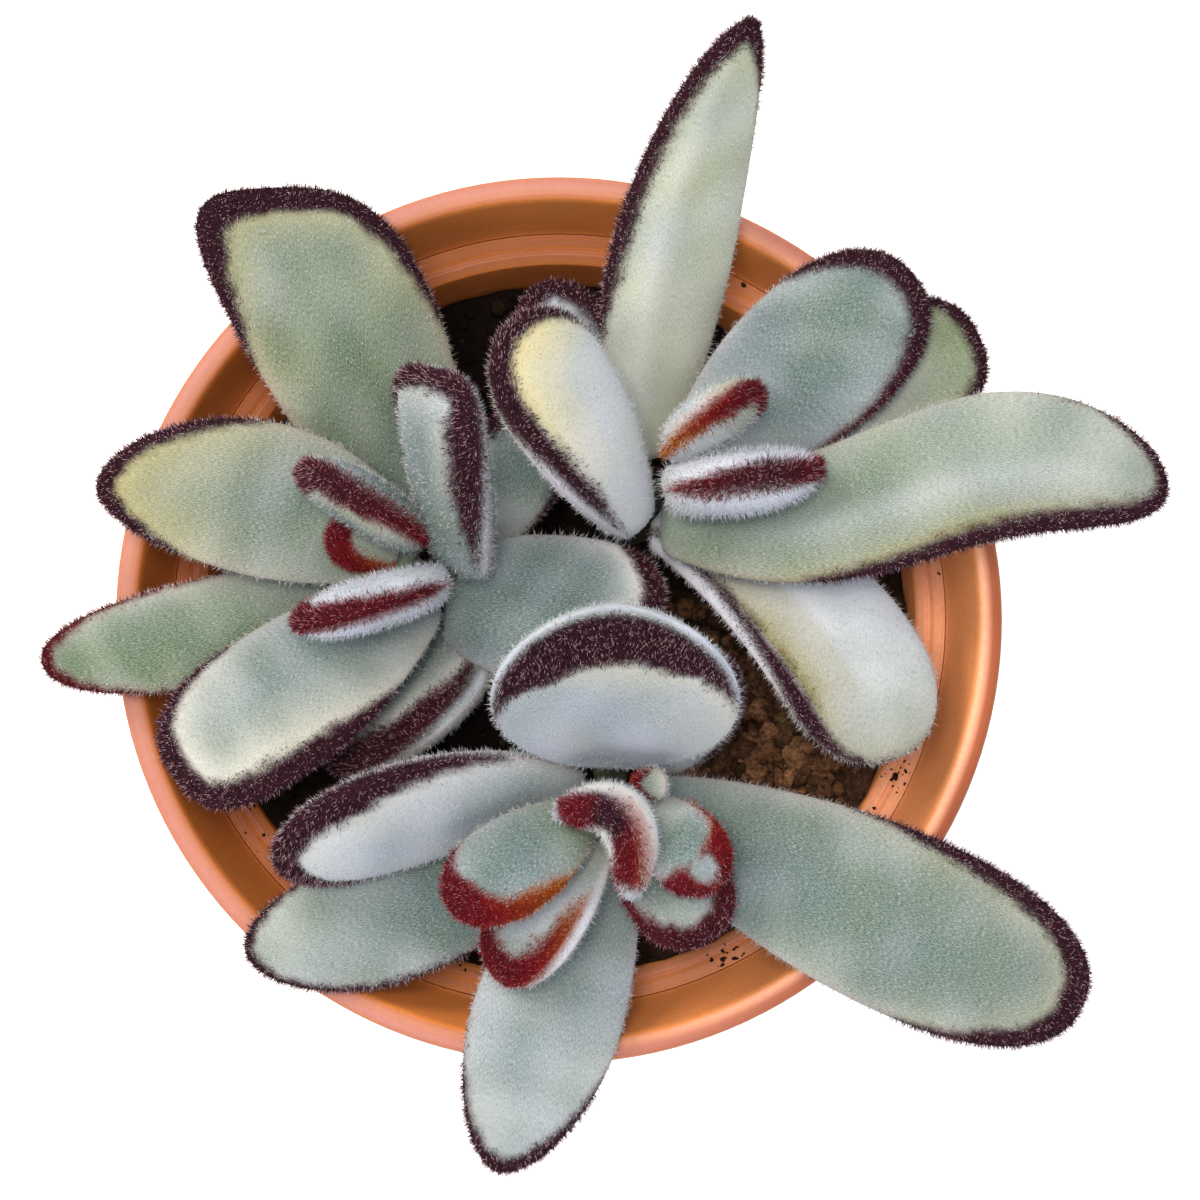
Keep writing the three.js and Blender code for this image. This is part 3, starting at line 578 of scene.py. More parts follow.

# %% [markdown]
# ## Where the leaves are
# Each leaf has a root on its stem and a tip, in millimetres. From those it gets its own straight frame,
# and a few numbers shape it: bow and curl lift its middle and its tip, sway and snake bend it sideways,
# roll turns it on its side, cup lifts its margins, neck, widest and blunt shape its width, skew makes the
# tip oblique, and fold raises a ridge. Rows like these made the CAD leaves too. Ten leaves were fitted
# again here, to lie and overlap as they do on the plant, and stray from their CAD leaves by 1 to 5 mm.
#
# The second group of numbers is the finish. One number holds all over. Several are spread evenly round
# the margin, from the root up the left side to the tip and down the right side, or, for warm and felt,
# from the root to the tip. fur is how far the dark fur reaches in from the outline, in mm. hem is how far
# it reaches over onto the underside, or, below zero, how far in it starts, with a white strip left
# outside it. red turns it from brown through crimson to orange. warm is how green the flesh is, and felt
# how thick the white felt lies on it; both were mostly fitted to each leaf's colour as seen, so where a
# leaf lies in shade they carry painted shade too. ridge paints a highlight on the felt along the fold,
# where it catches the light. glow is a pale zone that fades out over reach mm inside the fur, and gold
# turns it from white through straw yellow to olive. shag lengthens the hairs, fuzz makes the whole face
# as hairy as the margin, and blush tans the very edge.

# %% Leaf rows
LEAF = dict(thick=4.4, bow=2, sway=0, snake=0, roll=0, cup=0, widest=0.62, neck=0.3, blunt=2.1,
            skew=0, curl=0, fold=0, fold_at=0)
FINISH = dict(fur=(0, 0, 0.6, 1.4, 2, 1.4, 0.6, 0, 0), hem=0.8, red=(0.12, 0.06, 0.12), warm=0.45,
              felt=0.35, ridge=0, glow=0, reach=3, gold=0.3, shag=1, fuzz=0, blush=0.8)
LEAVES = {
    "leaf_west_01": dict(
        root=(-17.4, 7.2, 90), tip=(-63, -5, 106.5), width=12.8, sway=1.6, widest=0.6,
        fur=(0, 0, 0, 0, 0, 0, 0.4, 0.9, 1.4, 0.7, 0.5, 0.5, 0.2, 0, 0, 0, 0), red=(0.42, 0.38, 0.42),
        warm=(0, 0.7, 0.6), felt=(1, 0, 0), glow=(0, 0, 0, 0, 0, 0.3, 0.5, 0.5, 0.2), reach=2, gold=0,
        blush=1.2),
    "leaf_west_02": dict(
        root=(-16, 10.6, 92.5), tip=(-35, 52, 114), width=23, bow=1, sway=-1, widest=0.64, blunt=3.2,
        skew=5.8, fur=(0, 0, 0, 0, 0, 0.7, 1.9, 2.8, 3.1, 2.4, 1.6, 0.8, 0.3, 0, 0, 0, 0),
        warm=(0.08, 0.61, 0.42), felt=(0, 0.07, 0.2), glow=(0, 0, 0.4, 0.4, 0.5, 0.3, 0.2, 0, 0),
        gold=0.8, blush=1.5),
    "leaf_west_03": dict(
        root=(-10.5, -0.5, 93), tip=(-28.5, -18, 99), width=15, thick=6.4, bow=1, sway=1.6, roll=42,
        widest=0.35, fur=(2, 3.8, 4.6, 4.6, 3.6, 1, 0, 0, 0),
        hem=(-1.6, -2, -1.6, -0.6, 0.4, 0.3, 0, 0, 0), red=(0.25, 0.16, 0.14), warm=0, felt=0,
        glow=(0.8, 1, 1, 1, 0.4, 0, 0, 0, 0), reach=1.8, gold=0.05, shag=1.1, fuzz=0.35),
    "leaf_west_04": dict(
        root=(-10.6, 9, 94), tip=(-1.5, 26, 99), width=12, fur=(0, 0, 0.5, 2, 2.4, 1.6, 1, 0, 0),
        warm=(0.26, 0.13, 0.02), felt=(1, 0, 0.21)),
    "leaf_west_05": dict(
        root=(-17.8, 7.8, 99.8), tip=(-56, 16, 109), width=19, sway=-3, widest=0.5, blunt=1.8,
        fur=(0, 0, 0, 0, 0, 0, 0.4, 1.3, 2.2, 1.8, 1.6, 1, 0.2, 0, 0, 0, 0), warm=(0.57, 0.18, 0.64),
        felt=(0, 0.1, 0.18), glow=(0, 0.1, 0.2, 0.5, 0.75, 0.5, 0.3, 0, 0), reach=6, gold=0.8),
    "leaf_west_06": dict(
        root=(-16.2, 3.4, 98.8), tip=(-46.5, -19, 109), width=19, roll=18, blunt=2.8, fold=0.8,
        fold_at=0.4, fur=(0, 0, 0.2, 1.1, 2.1, 2.8, 3, 3, 2.4, 1.5, 0.9, 0.5, 0.2, 0, 0, 0, 0),
        red=(0.2, 0.12, 0.1), warm=(0, 0.09, 0.11), felt=(0, 0.06, 0.28),
        glow=(0.1, 0.5, 0.7, 0.8, 0.7, 0.5, 0.2, 0, 0), reach=3.4, gold=0.14),
    "leaf_west_07": dict(
        root=(-13.4, 3.4, 98.4), tip=(12.8, 5.6, 103), width=18, thick=5, sway=-2.8, widest=0.4, neck=0.6,
        curl=2.5, fur=(0, 0, 0, 0, 0, 0, 0, 0.2, 2.2, 3.6, 3.4, 2.6, 1.4, 0.6, 0, 0, 0), hem=0.2,
        red=(0.2, 0.18, 0.14), warm=0, felt=(0, 0.04, 0.11),
        glow=(0, 0, 0, 0, 0, 0, 0.3, 1, 1, 1, 1, 0.8, 0.5, 0.2, 0, 0, 0), reach=1.8, gold=0, shag=1.25),
    "leaf_west_08": dict(
        root=(-20, 7.4, 103.2), tip=(-28, 11, 106.9), width=6.5, thick=2.6, bow=0.5,
        fur=(1.2, 1.8, 2.4, 2.8, 2.8, 1.8, 0.6, 0, 0), red=(0.9, 0.48, 0.4), felt=0.2, fuzz=0.4),
    "leaf_west_09": dict(
        root=(-17.2, 9.8, 106), tip=(-30.8, 18.6, 116), width=10, thick=6.6, roll=-75, widest=0.7,
        blunt=2.8, fur=(0, 0, 0, 0.8, 3, 3, 2.2, 1.4, 0.5), hem=1.1, red=(0.5, 0.16, 0.28, 0.6), warm=0,
        felt=(0, 0, 0.07), glow=(0, 0, 0, 0.2, 0.4, 0.5, 0.5, 0.3, 0), gold=0.25, fuzz=0.6),
    "leaf_west_10": dict(
        root=(-13.8, 5.2, 106.4), tip=(-31.8, -0.4, 114), width=9.5, thick=6, roll=70,
        fur=(0, 1, 1.8, 2.6, 2.8, 1, 0, 0, 0), hem=0.9, red=(0.42, 0.36, 0.34), warm=0,
        felt=(0.63, 0.83, 1), shag=1.1, fuzz=0.8),
    "leaf_west_11": dict(
        root=(-12, 7.2, 105), tip=(-14.6, 30, 121), width=14.5, thick=7, roll=-50, widest=0.82, neck=0.62,
        blunt=3, fur=(0, 0, 0, 1, 2.6, 4.1, 4, 2.6, 0.4), hem=(0, 0, 0, 0.2, 0.4, 0.2, -0.4, -1.4, -1.6),
        warm=0, felt=(0, 0, 0.33), glow=(0, 0, 0, 0.2, 0.3, 0.4, 0.3, 0, 0), gold=0.1, shag=1.1,
        fuzz=0.5),
    "leaf_east_01": dict(
        root=(7.2, 17.6, 89.5), tip=(-2, 42, 95.5), width=13,
        fur=(0, 0.4, 1, 1.8, 2.4, 2.6, 2.2, 1.2, 0.5), warm=0.05, felt=0.6),
    "leaf_east_02": dict(
        root=(15.6, 17.6, 91.2), tip=(51.3, 34.8, 106.5), width=17, bow=1, widest=0.74, blunt=2.4,
        fur=(0, 0, 0, 0.8, 1.6, 1.3, 0.7, 0, 0), warm=(0.22, 0.22, 1), felt=(1, 1, 0)),
    "leaf_east_03": dict(
        root=(11.2, 20.2, 93.5), tip=(23.5, 72, 117), width=15.8, sway=3, roll=22, widest=0.45, blunt=1.7,
        fold=0.7, fold_at=0.35, fur=(0, 0, 0.3, 1.2, 1.9, 1.8, 1.7, 1.9, 2.4, 0.6, 0.2, 0, 0, 0, 0, 0, 0),
        warm=(0.69, 0.7, 0.81), felt=(0.89, 0.57, 0.48), ridge=0.2),
    "leaf_east_04": dict(
        root=(11.8, 12.2, 97), tip=(41, -17, 106), width=19.8, sway=5.4, roll=-22, widest=0.74, blunt=2.3,
        fur=(0, 0, 0, 0, 0, 0, 0, 0, 0.4, 2, 2.7, 2.8, 2.6, 2.6, 2.6, 2.4, 2.2),
        hem=(0, 0, 0, 0, 0.2, -0.2, -1, -1.6, -1.8), warm=(0, 0.13, 0.42), felt=(1, 1, 0.53),
        glow=(0, 0, 0, 0, 0.4, 1, 1, 0.7, 0.2), reach=5, gold=1, shag=1.1),
    "leaf_east_05": dict(
        root=(15.8, 19, 97.5), tip=(43, 42, 110), width=19.4, widest=0.6, blunt=2.3,
        fur=(0, 0, 0, 0, 0, 0.2, 1, 2, 2.6, 2.3, 1.7, 1.1, 0.8, 0.6, 0.4, 0.2, 0), red=(0.3, 0.08, 0.5),
        warm=(0.1, 0, 0.19), felt=(0.65, 0.03, 0.09)),
    "leaf_east_06": dict(
        root=(12.8, 13.3, 103.6), tip=(73, 16.5, 116), width=18.5, sway=1, snake=-2.8, roll=-15, neck=0.5,
        skew=-3.5, fold=1, fold_at=-0.25,
        fur=(0, 0, 0, 0, 0, 0, 0.2, 0.5, 1.5, 2.2, 2.3, 2.2, 1.8, 1.2, 0.4, 0, 0),
        warm=(0.39, 0.55, 0.33), felt=(0, 0.19, 0.41), ridge=0.18,
        glow=(0, 0, 0, 0, 0.2, 0.7, 0.8, 0.5, 0.1), reach=1.5, gold=1),
    "leaf_east_07": dict(
        root=(9.8, 12, 107), tip=(-6, 35, 121), width=19, thick=6, sway=-0.8, roll=40, widest=0.7,
        fur=(0.8, 2.6, 3, 2.9, 2.2, 0.4, 0, 0, 0), hem=(-1.2, -1.1, -0.8, 0.1, 0.6, 0.3, 0, 0, 0),
        warm=(0.35, 0.23, 0.78), felt=(1, 1, 0.55), glow=(0, 0.15, 0.5, 1, 1, 0, 0, 0, 0), reach=5,
        gold=0.4, shag=1.1, fuzz=0.35),
    "leaf_east_08": dict(
        root=(14, 20.6, 108.2), tip=(24.3, 28.2, 115.4), width=9.5, thick=5.8, roll=62,
        fur=(1, 1.9, 2.5, 3.2, 2.2, 0.6, 0, 0, 0), hem=(-0.5, -0.5, -0.5, -0.3, 0.3, 0.5, 0, 0, 0),
        red=(1.8, 0.8, 0.42, 0.42, 0.6), warm=(0.32, 0.19, 0.84), felt=(1, 0.59, 0.2), shag=1.2,
        fuzz=0.6),
    "leaf_east_09": dict(
        root=(13.2, 16.2, 108), tip=(31.6, 18.4, 114), width=9, thick=7.6, roll=-80,
        fur=(0, 0, 0, 0.6, 1.3, 2.6, 1.8, 0.9, 0.1), hem=1.3,
        red=(0.5, 0.5, 0.5, 0.46, 0.42, 0.2, 0.3, 0.44, 0.7), warm=(0.22, 0, 0), felt=1, shag=1.4,
        fuzz=1),
    "leaf_south_01": dict(
        root=(3.8, -23.6, 90), tip=(-38.5, -40.4, 103), width=16.5, sway=3, blunt=1.9,
        fur=(0, 0, 0.1, 0.3, 0.6, 0.7, 0.7, 0.8, 1.1, 0.6, 0.3, 0.3, 0.2, 0, 0, 0, 0), warm=(0, 0, 0.44),
        felt=(0, 0, 0.43)),
    "leaf_south_02": dict(
        root=(6.2, -25.6, 96), tip=(-7.5, -67.5, 105), width=18.5, widest=0.58, blunt=1.75,
        fur=(0, 0, 0, 0, 0, 0.2, 0.7, 1.4, 1.9, 0.9, 0.5, 0.3, 0, 0, 0, 0, 0), warm=(0, 0.13, 0.19),
        felt=(0, 0.21, 0.47)),
    "leaf_south_03": dict(
        root=(10.4, -22.6, 99), tip=(63.5, -46.5, 111), width=22, bow=3, blunt=2.3,
        fur=(0, 0, 0, 0.2, 0.8, 1.7, 2.1, 2.4, 3, 2.1, 0.9, 0.3, 0, 0, 0, 0, 0), warm=(0.05, 0.16, 0.13),
        felt=0, glow=(0, 0.1, 0.2, 0.2, 0.25, 0.15, 0.1, 0, 0), gold=0.4),
    "leaf_south_04": dict(
        root=(10.7, -18.2, 96), tip=(20, -4, 108), width=12.5, thick=4,
        fur=(0, 0, 0, 0.3, 1, 1, 0.8, 0.4, 0), hem=0.3, warm=0.49, felt=1),
    "leaf_south_05": dict(
        root=(2.9, -21.4, 100.6), tip=(-34, -29.6, 111), width=18.5, thick=6.6, sway=-2.4, roll=-48,
        fur=(0, 0, 0, 0.6, 2.8, 3.9, 1.9, 0.4, 0), hem=(0, 0, 0, 0.4, 1, 0.8, 0.4, -0.2, -0.4),
        warm=(0, 0.03, 0.29), felt=(0, 0.5, 1), glow=(0, 0, 0, 0.1, 0.3, 0.5, 0.5, 0.2, 0), gold=0.1,
        shag=1.1),
    "leaf_south_06": dict(
        root=(6.8, -16.6, 103.5), tip=(7, 2, 131), width=29.5, thick=6, cup=2.5, widest=0.58,
        fur=(0, 0, 0, 0.3, 0.8, 2.6, 6.2, 7, 7.3, 6.2, 3.4, 1.5, 0.5, 0.2, 0, 0, 0),
        hem=(0, -0.3, -0.5, -1, -1.1, -1, -0.8, -0.5, 0), red=(0.15, 0.1, 0.15), warm=(0, 0.09, 0.31),
        felt=(1, 0.54, 0.39), glow=(0, 0, 0, 0.2, 0.5, 0.6, 0.6, 0.3, 0), gold=0.2, shag=1.1, fuzz=0.2,
        blush=0.1),
    "leaf_south_07": dict(
        root=(3.6, -23.2, 106.5), tip=(-13, -34.5, 115), width=12.5, thick=4.6, roll=20,
        fur=(0, 0, 0, 0.5, 1.7, 2.2, 2.6, 3.4, 4, 1.2, 0.4, 0, 0, 0, 0, 0, 0), hem=0.5,
        red=(1.8, 1.1, 0.46, 0.46, 0.4), warm=(0.89, 0.08, 0), felt=0),
    "leaf_south_08": dict(
        root=(5, -25.2, 102.9), tip=(-7, -44, 108.4), width=12, thick=4, roll=15, cup=2,
        fur=(0, 0.4, 3.2, 4.2, 3.6, 1.4, 0.8, 0.4, 0), hem=(-1.4, -1.8, -1.8, -1.4, 0, 0.4, 0.4, 0.3, 0),
        red=(1.8, 1, 0.46, 0.46, 0.5), warm=(0.66, 0, 0.38), felt=(0, 0.63, 0),
        glow=(0.2, 0.3, 0.3, 0.3, 0.2, 0, 0, 0, 0), reach=1.8, gold=0, fuzz=0.3),
    "leaf_south_09": dict(
        root=(9.7, -25, 104), tip=(18.5, -38.5, 110), width=13, thick=4, cup=2.5,
        fur=(0, 1.4, 2.6, 2.8, 2.6, 2.2, 1.2, 0.8, 0.4), hem=0.5, red=(0.5, 0.26, 0.5), warm=0, felt=0,
        glow=(0.1, 0.3, 0.2), reach=2.2, gold=0, fuzz=0.3),
    "leaf_south_10": dict(
        root=(10.6, -22.6, 107.5), tip=(19.6, -31.7, 115), width=10, thick=3.4,
        fur=(0, 0, 0.4, 0.5, 0.6, 0.9, 2.6, 3.6, 0.9, 3.4, 2.4, 0.2, 0, 0, 0, 0, 0), hem=0.4,
        red=(0.8, 0.85, 0.5, 0.46, 0.5), warm=(0.61, 0.14, 0), felt=(1, 0, 0)),
    "leaf_south_11": dict(
        root=(9.6, -19.8, 109), tip=(13, -19.5, 115), width=4, thick=2.4, bow=0,
        fur=(2.4, 2, 0.6, 0, 0.6, 2, 2.4), hem=-0.3, red=(0.7, 0.3, 0.7), warm=(0.4, 0.33, 0.33),
        felt=(0.3, 0.1, 0.1), fuzz=0.6),
    "leaf_south_12": dict(
        root=(6.2, -24.2, 111.4), tip=(8.4, -21.4, 123), width=14, thick=4, bow=0, cup=7,
        red=(0.4, 0.3, 0.4), felt=0.75, fuzz=0.9),
}
longest = max(np.linalg.norm(np.subtract(row["tip"], row["root"])) for row in LEAVES.values())
print(len(LEAVES), "leaves, up to", longest.round(1), "mm long")

# %% [markdown]
# ## The leaf surface
# A leaf is a thick spoon. Its surface is a function of two parameters: u runs from the root to the tip
# along a bent middle line, and the section angle runs round from the left margin over the upper face to
# the right margin and back below. Rings crowd together near the tip, so that it closes in a round dome.

# %% Leaf functions
ROOT_ROUND = 0.03  # share of the length over which the root end is rounded
ROOT_RINGS, ROOT_PART = 0.08, 0.04  # this share of the rings lies in this share of the length
ABOVE, BELOW = 0.42, 0.58  # shares of the thickness over and under the middle plane
CURL_FROM = 0.6
FOLD_WIDTH = 0.3


def unit(v):
    """Each vector divided by its length."""
    return v / np.maximum(np.linalg.norm(v, axis=-1, keepdims=True), 1e-9)


def arch(u):
    """4 u (1 - u): 0 at both ends and 1 in the middle."""
    return 4 * u * (1 - u)


def root_round(u):
    """A quarter circle over the first few percent of the leaf, so that the root end closes."""
    return np.sqrt(1 - (1 - np.clip(u / ROOT_ROUND, 0, 1)) ** 2)


def width_share(u, leaf):
    """Up to the widest place it is the neck plus the rest times a sine to the power 0.75. Past it, the half
    width closes as a superellipse of power blunt."""
    swell = np.sin(np.pi / 2 * np.clip(u / leaf["widest"], 0, 1)) ** 0.75
    grown = leaf["neck"] + (1 - leaf["neck"]) * swell
    q = np.clip((u - leaf["widest"]) / (1 - leaf["widest"]), 0, 1)
    closing = (1 - q ** leaf["blunt"]) ** (1 / leaf["blunt"])
    return np.where(u < leaf["widest"], grown, closing) * root_round(u)


def thick_share(u):
    """Nearly even, a little fuller in the middle, and round at the tip."""
    return (0.8 + 0.2 * np.sin(np.pi * u)) * np.sqrt(np.clip(1 - u**7, 0, 1)) * root_round(u)


def leaf_frame(leaf):
    """Unit vectors of the straight leaf: left and up before its roll, and left after it."""
    along = unit(np.subtract(leaf["tip"], leaf["root"]))
    flat_left = unit(np.cross([0, 0, 1], along))
    flat_up = np.cross(along, flat_left)
    roll = np.radians(leaf["roll"])
    return flat_left, flat_up, np.cos(roll) * flat_left + np.sin(roll) * flat_up


def leaf_middle(u, leaf):
    """Straight from root to tip, plus a bow and a curl upwards and a sideways sway and S-bend. The curl is
    the square of how far u is past CURL_FROM."""
    flat_left, flat_up, _ = leaf_frame(leaf)
    root, tip = np.array(leaf["root"], float), np.array(leaf["tip"], float)
    rise = leaf["bow"] * arch(u) + leaf["curl"] * (np.clip(u - CURL_FROM, 0, 1) / (1 - CURL_FROM)) ** 2
    side = leaf["sway"] * arch(u) + leaf["snake"] * np.sin(2 * np.pi * u)
    return root + u[:, None] * (tip - root) + rise[:, None] * flat_up + side[:, None] * flat_left


def leaf_grid(leaf, rings, sides):
    """Points of the leaf, the share u along it, the place x across it (1 at the left margin) and the height
    over its middle plane. A section is half the width times the cosine across, and the sine times its
    share of the thickness above or below. A cup lifts the margins by the square of the cosine, and a fold
    lifts a ridge."""
    s = np.linspace(0, 1, rings + 2)[1:-1]
    early = ROOT_PART * (s / ROOT_RINGS) ** 2
    rest = np.clip((s - ROOT_RINGS) / (1 - ROOT_RINGS), 0, 1)
    late = ROOT_PART + (1 - ROOT_PART) * (1 - (1 - rest) ** 1.8)
    u = np.where(s < ROOT_RINGS, early, late)
    angle = turns(sides)
    middle = leaf_middle(u, leaf)
    tangent = unit(leaf_middle(u + 0.01, leaf) - leaf_middle(u - 0.01, leaf))
    _, _, left = leaf_frame(leaf)
    left = unit(left - (tangent @ left)[:, None] * tangent)
    up = np.cross(tangent, left)
    x = np.cos(angle)
    rise = np.where(np.sin(angle) > 0, ABOVE, BELOW) * np.sin(angle)
    share = width_share(u, leaf)
    over = (leaf["thick"] * thick_share(u))[:, None] * rise
    top = np.where(np.sin(angle) > 0, np.sin(angle), 0)
    ridge = np.exp(-(((x - leaf["fold_at"]) / FOLD_WIDTH) ** 2)) * top
    fold = (leaf["fold"] * share * arch(u) ** 0.5)[:, None] * ridge
    height = over + (leaf["cup"] * share)[:, None] * x**2 + fold
    across = (leaf["width"] / 2 * share)[:, None] * x
    slip = (leaf["skew"] * share * u**2)[:, None] * x
    grid = middle[:, None] + across[..., None] * left[:, None] + height[..., None] * up[:, None]
    grid += slip[..., None] * tangent[:, None]
    u = np.broadcast_to(u[:, None], grid.shape[:2])
    x = np.broadcast_to(x, grid.shape[:2])
    return grid, u, x, over


# %% [markdown]
# ## The dark margin
# The fur follows the leaf's outline. For each point the nearest place on the outline is found, in the
# plan of the flattened leaf, and the way round the thick margin is added. That distance is positive on
# the upper face and negative below, and the fur lies between the hem and the reach that the row gives
# there.

# %% Margin functions
SOFT = 1.3  # mm over which the fur thins out
EDGE_FADE, BLUSH_FADE, RIM_FELT_AND_SHEEN_FADE = 1.1, 0.7, 1.6  # mm from the outline: long hairs, tan, and thick felt with a painted sheen
FRAY, FRAY_SIZE = 0.16, 2.6  # how ragged the fur's edge is, and mm from tooth to tooth
GREEN_PATCH, FELT_PATCH = (0.09, 14), (0.08, 9)  # strength and size in mm


def round_leaf(values, way):
    """Values given at even places along way, from 0 to 1, and drawn straight between them. One value alone
    holds everywhere."""
    values = np.broadcast_to(values, 2) if np.ndim(values) == 0 else np.array(values, float)
    return np.interp(way, np.linspace(0, 1, len(values)), values)


def near_outline(leaf, u, x):
    """Distance in mm to the flattened outline, and the way round it: 0 and 1 at the root, 0.5 at the
    tip."""
    length = np.linalg.norm(np.subtract(leaf["tip"], leaf["root"]))
    line = 1 - (1 - np.linspace(0.02, 1, 130)) ** 1.6
    half = leaf["width"] / 2 * width_share(line, leaf)
    outline = np.concatenate([np.stack([line * length, half], -1), np.stack([line * length, -half], -1)])
    way = np.concatenate([line / 2, 1 - line / 2])
    here = np.stack([u * length, x * leaf["width"] / 2 * width_share(u, leaf)], -1).reshape(-1, 1, 2)
    away = np.linalg.norm(here - outline, axis=-1)
    nearest = away.argmin(1)
    return away.min(1).reshape(u.shape), way[nearest].reshape(u.shape)


def leaf_finish(leaf, grid, u, x, over, seed):
    """The numbers that the felt's material and the hairs read at each point. band is the fur: it lies
    between the hem and the reach, frayed by waves, and thins out over SOFT mm. glow falls with e to the
    power of minus the distance past the fur, over its own reach. edge, blush and the felt of the rim fall
    with the distance from the outline in the same way, and at the rim a painted sheen lightens the felt.
    ridge adds a painted highlight to the felt along the fold."""
    away, way = near_outline(leaf, u, x)
    inward = np.where(over >= 0, 1, -1) * np.hypot(away, over)
    fray = waves(grid[..., 0] + 0.6 * grid[..., 2], grid[..., 1] - 0.6 * grid[..., 2], FRAY_SIZE, 8, seed)
    reach = round_leaf(leaf["fur"], way)
    reach = reach * 1.08 + smoothstep(0, 1, reach) * FRAY * fray
    hem = round_leaf(leaf["hem"], way)
    hem = np.where(hem > 0, hem * smoothstep(0.2, 1.4, reach), hem)
    band = smoothstep(-0.5, 0.5, (reach - inward) / SOFT) * smoothstep(-0.5, 0.5, (inward + hem) / SOFT)
    band = band * smoothstep(0.1, 0.7, reach)
    core = band * np.exp(-(((inward - (reach - hem) / 2) / np.maximum(0.3 * (reach + hem), 0.3)) ** 2))
    red = round_leaf(leaf["red"], way) * (1 - 0.25 * core)
    glow = round_leaf(leaf["glow"], way) * np.exp(-np.clip(inward - reach, 0, 99) / leaf["reach"])
    glow = glow * (over > 0) * smoothstep(-1, 0, inward - reach)
    outer = smoothstep(0, 0.9, -hem - inward) * (hem < 0) * (over > 0)
    edge = np.maximum(np.exp(-np.abs(inward) / EDGE_FADE), leaf["fuzz"])
    blush = np.exp(-np.abs(inward) / BLUSH_FADE) * leaf["blush"]
    felt = round_leaf(leaf["felt"], u)
    # Painted highlight along the fold, where the ridge catches the light, added to the felt.
    ridge = leaf["ridge"] * np.exp(-(((x - leaf["fold_at"]) / 0.25) ** 2)) * arch(u)
    felt = felt + ridge
    # Near the outline the felt is thicker, and a painted sheen lightens it further.
    felt = felt + (1 - felt) * np.maximum(0.4 * np.exp(-np.abs(inward) / RIM_FELT_AND_SHEEN_FADE), 0.6 * outer)
    patch = GREEN_PATCH[0] * waves(grid[..., 0], grid[..., 1] + grid[..., 2], GREEN_PATCH[1], 6, seed + 50)
    warm = np.clip(round_leaf(leaf["warm"], u) + patch - ridge - 0.5 * outer, 0, 1)
    patch = FELT_PATCH[0] * waves(grid[..., 0], grid[..., 1], FELT_PATCH[1], 6, seed + 90)
    felt = np.clip(felt + patch, 0, 1)
    flat = np.ones_like(band)
    return dict(band=band, red=red, glow=np.clip(glow, 0, 1), edge=edge, felt=felt, warm=warm,
                gold=flat * leaf["gold"], blush=blush)


# %% [markdown]
# ## The hairs
# Each hair is a real thin spike: three points at its foot, one at its tip and four faces. Hair curves and
# particles would be lost when the model is exported. Feet are drawn at random over the leaf, more of them
# where the fur is dense. On the faces the hairs are short and lie towards the tip, like brushed felt. On
# the margins they are longer and stand up. Real hairs are about a hundredth of a millimetre thick, far
# too fine to show, so these are drawn seven to fourteen times as thick, and fewer. Each hair is either
# dark or pale, so the edge of the fur is ragged hair by hair, as it is on the plant.

# %% Hair functions
HAIR_DENSITY = dict(face=3.4, under=0.4, edge=8.0, fur=30.0)  # hairs per square mm
HAIR_LENGTH = dict(face=0.75, edge=0.9, fur=0.95)  # mm
HAIR_RADIUS = dict(face=0.036, fur=0.056)  # mm
STAND, FUR_STANDS = 0.45, 0.7  # how steeply hairs leave the skin, and what fur adds
LEAN, FUR_LEANS_LESS = 0.85, 0.65  # how far they lie towards the tip, and what fur takes off
TANGLE = 0.36
SHINY = 0.82  # hairs with more luck than this are stouter, and carry a painted glint in the fur
ROOTED = 0.08  # mm that a hair's foot is sunk


def grid_normals(grid):
    """Outward normals of a stack of rings: round the ring crossed with along the leaf."""
    round_it = np.roll(grid, -1, axis=1) - np.roll(grid, 1, axis=1)
    return unit(np.cross(round_it, np.gradient(grid, axis=0)))


def blend_by(face, edge, fur, fields):
    """A value that goes from the face's to the edge's, and on to the fur's."""
    value = face + (edge - face) * fields["edge"]
    return value + (fur - value) * fields["band"]


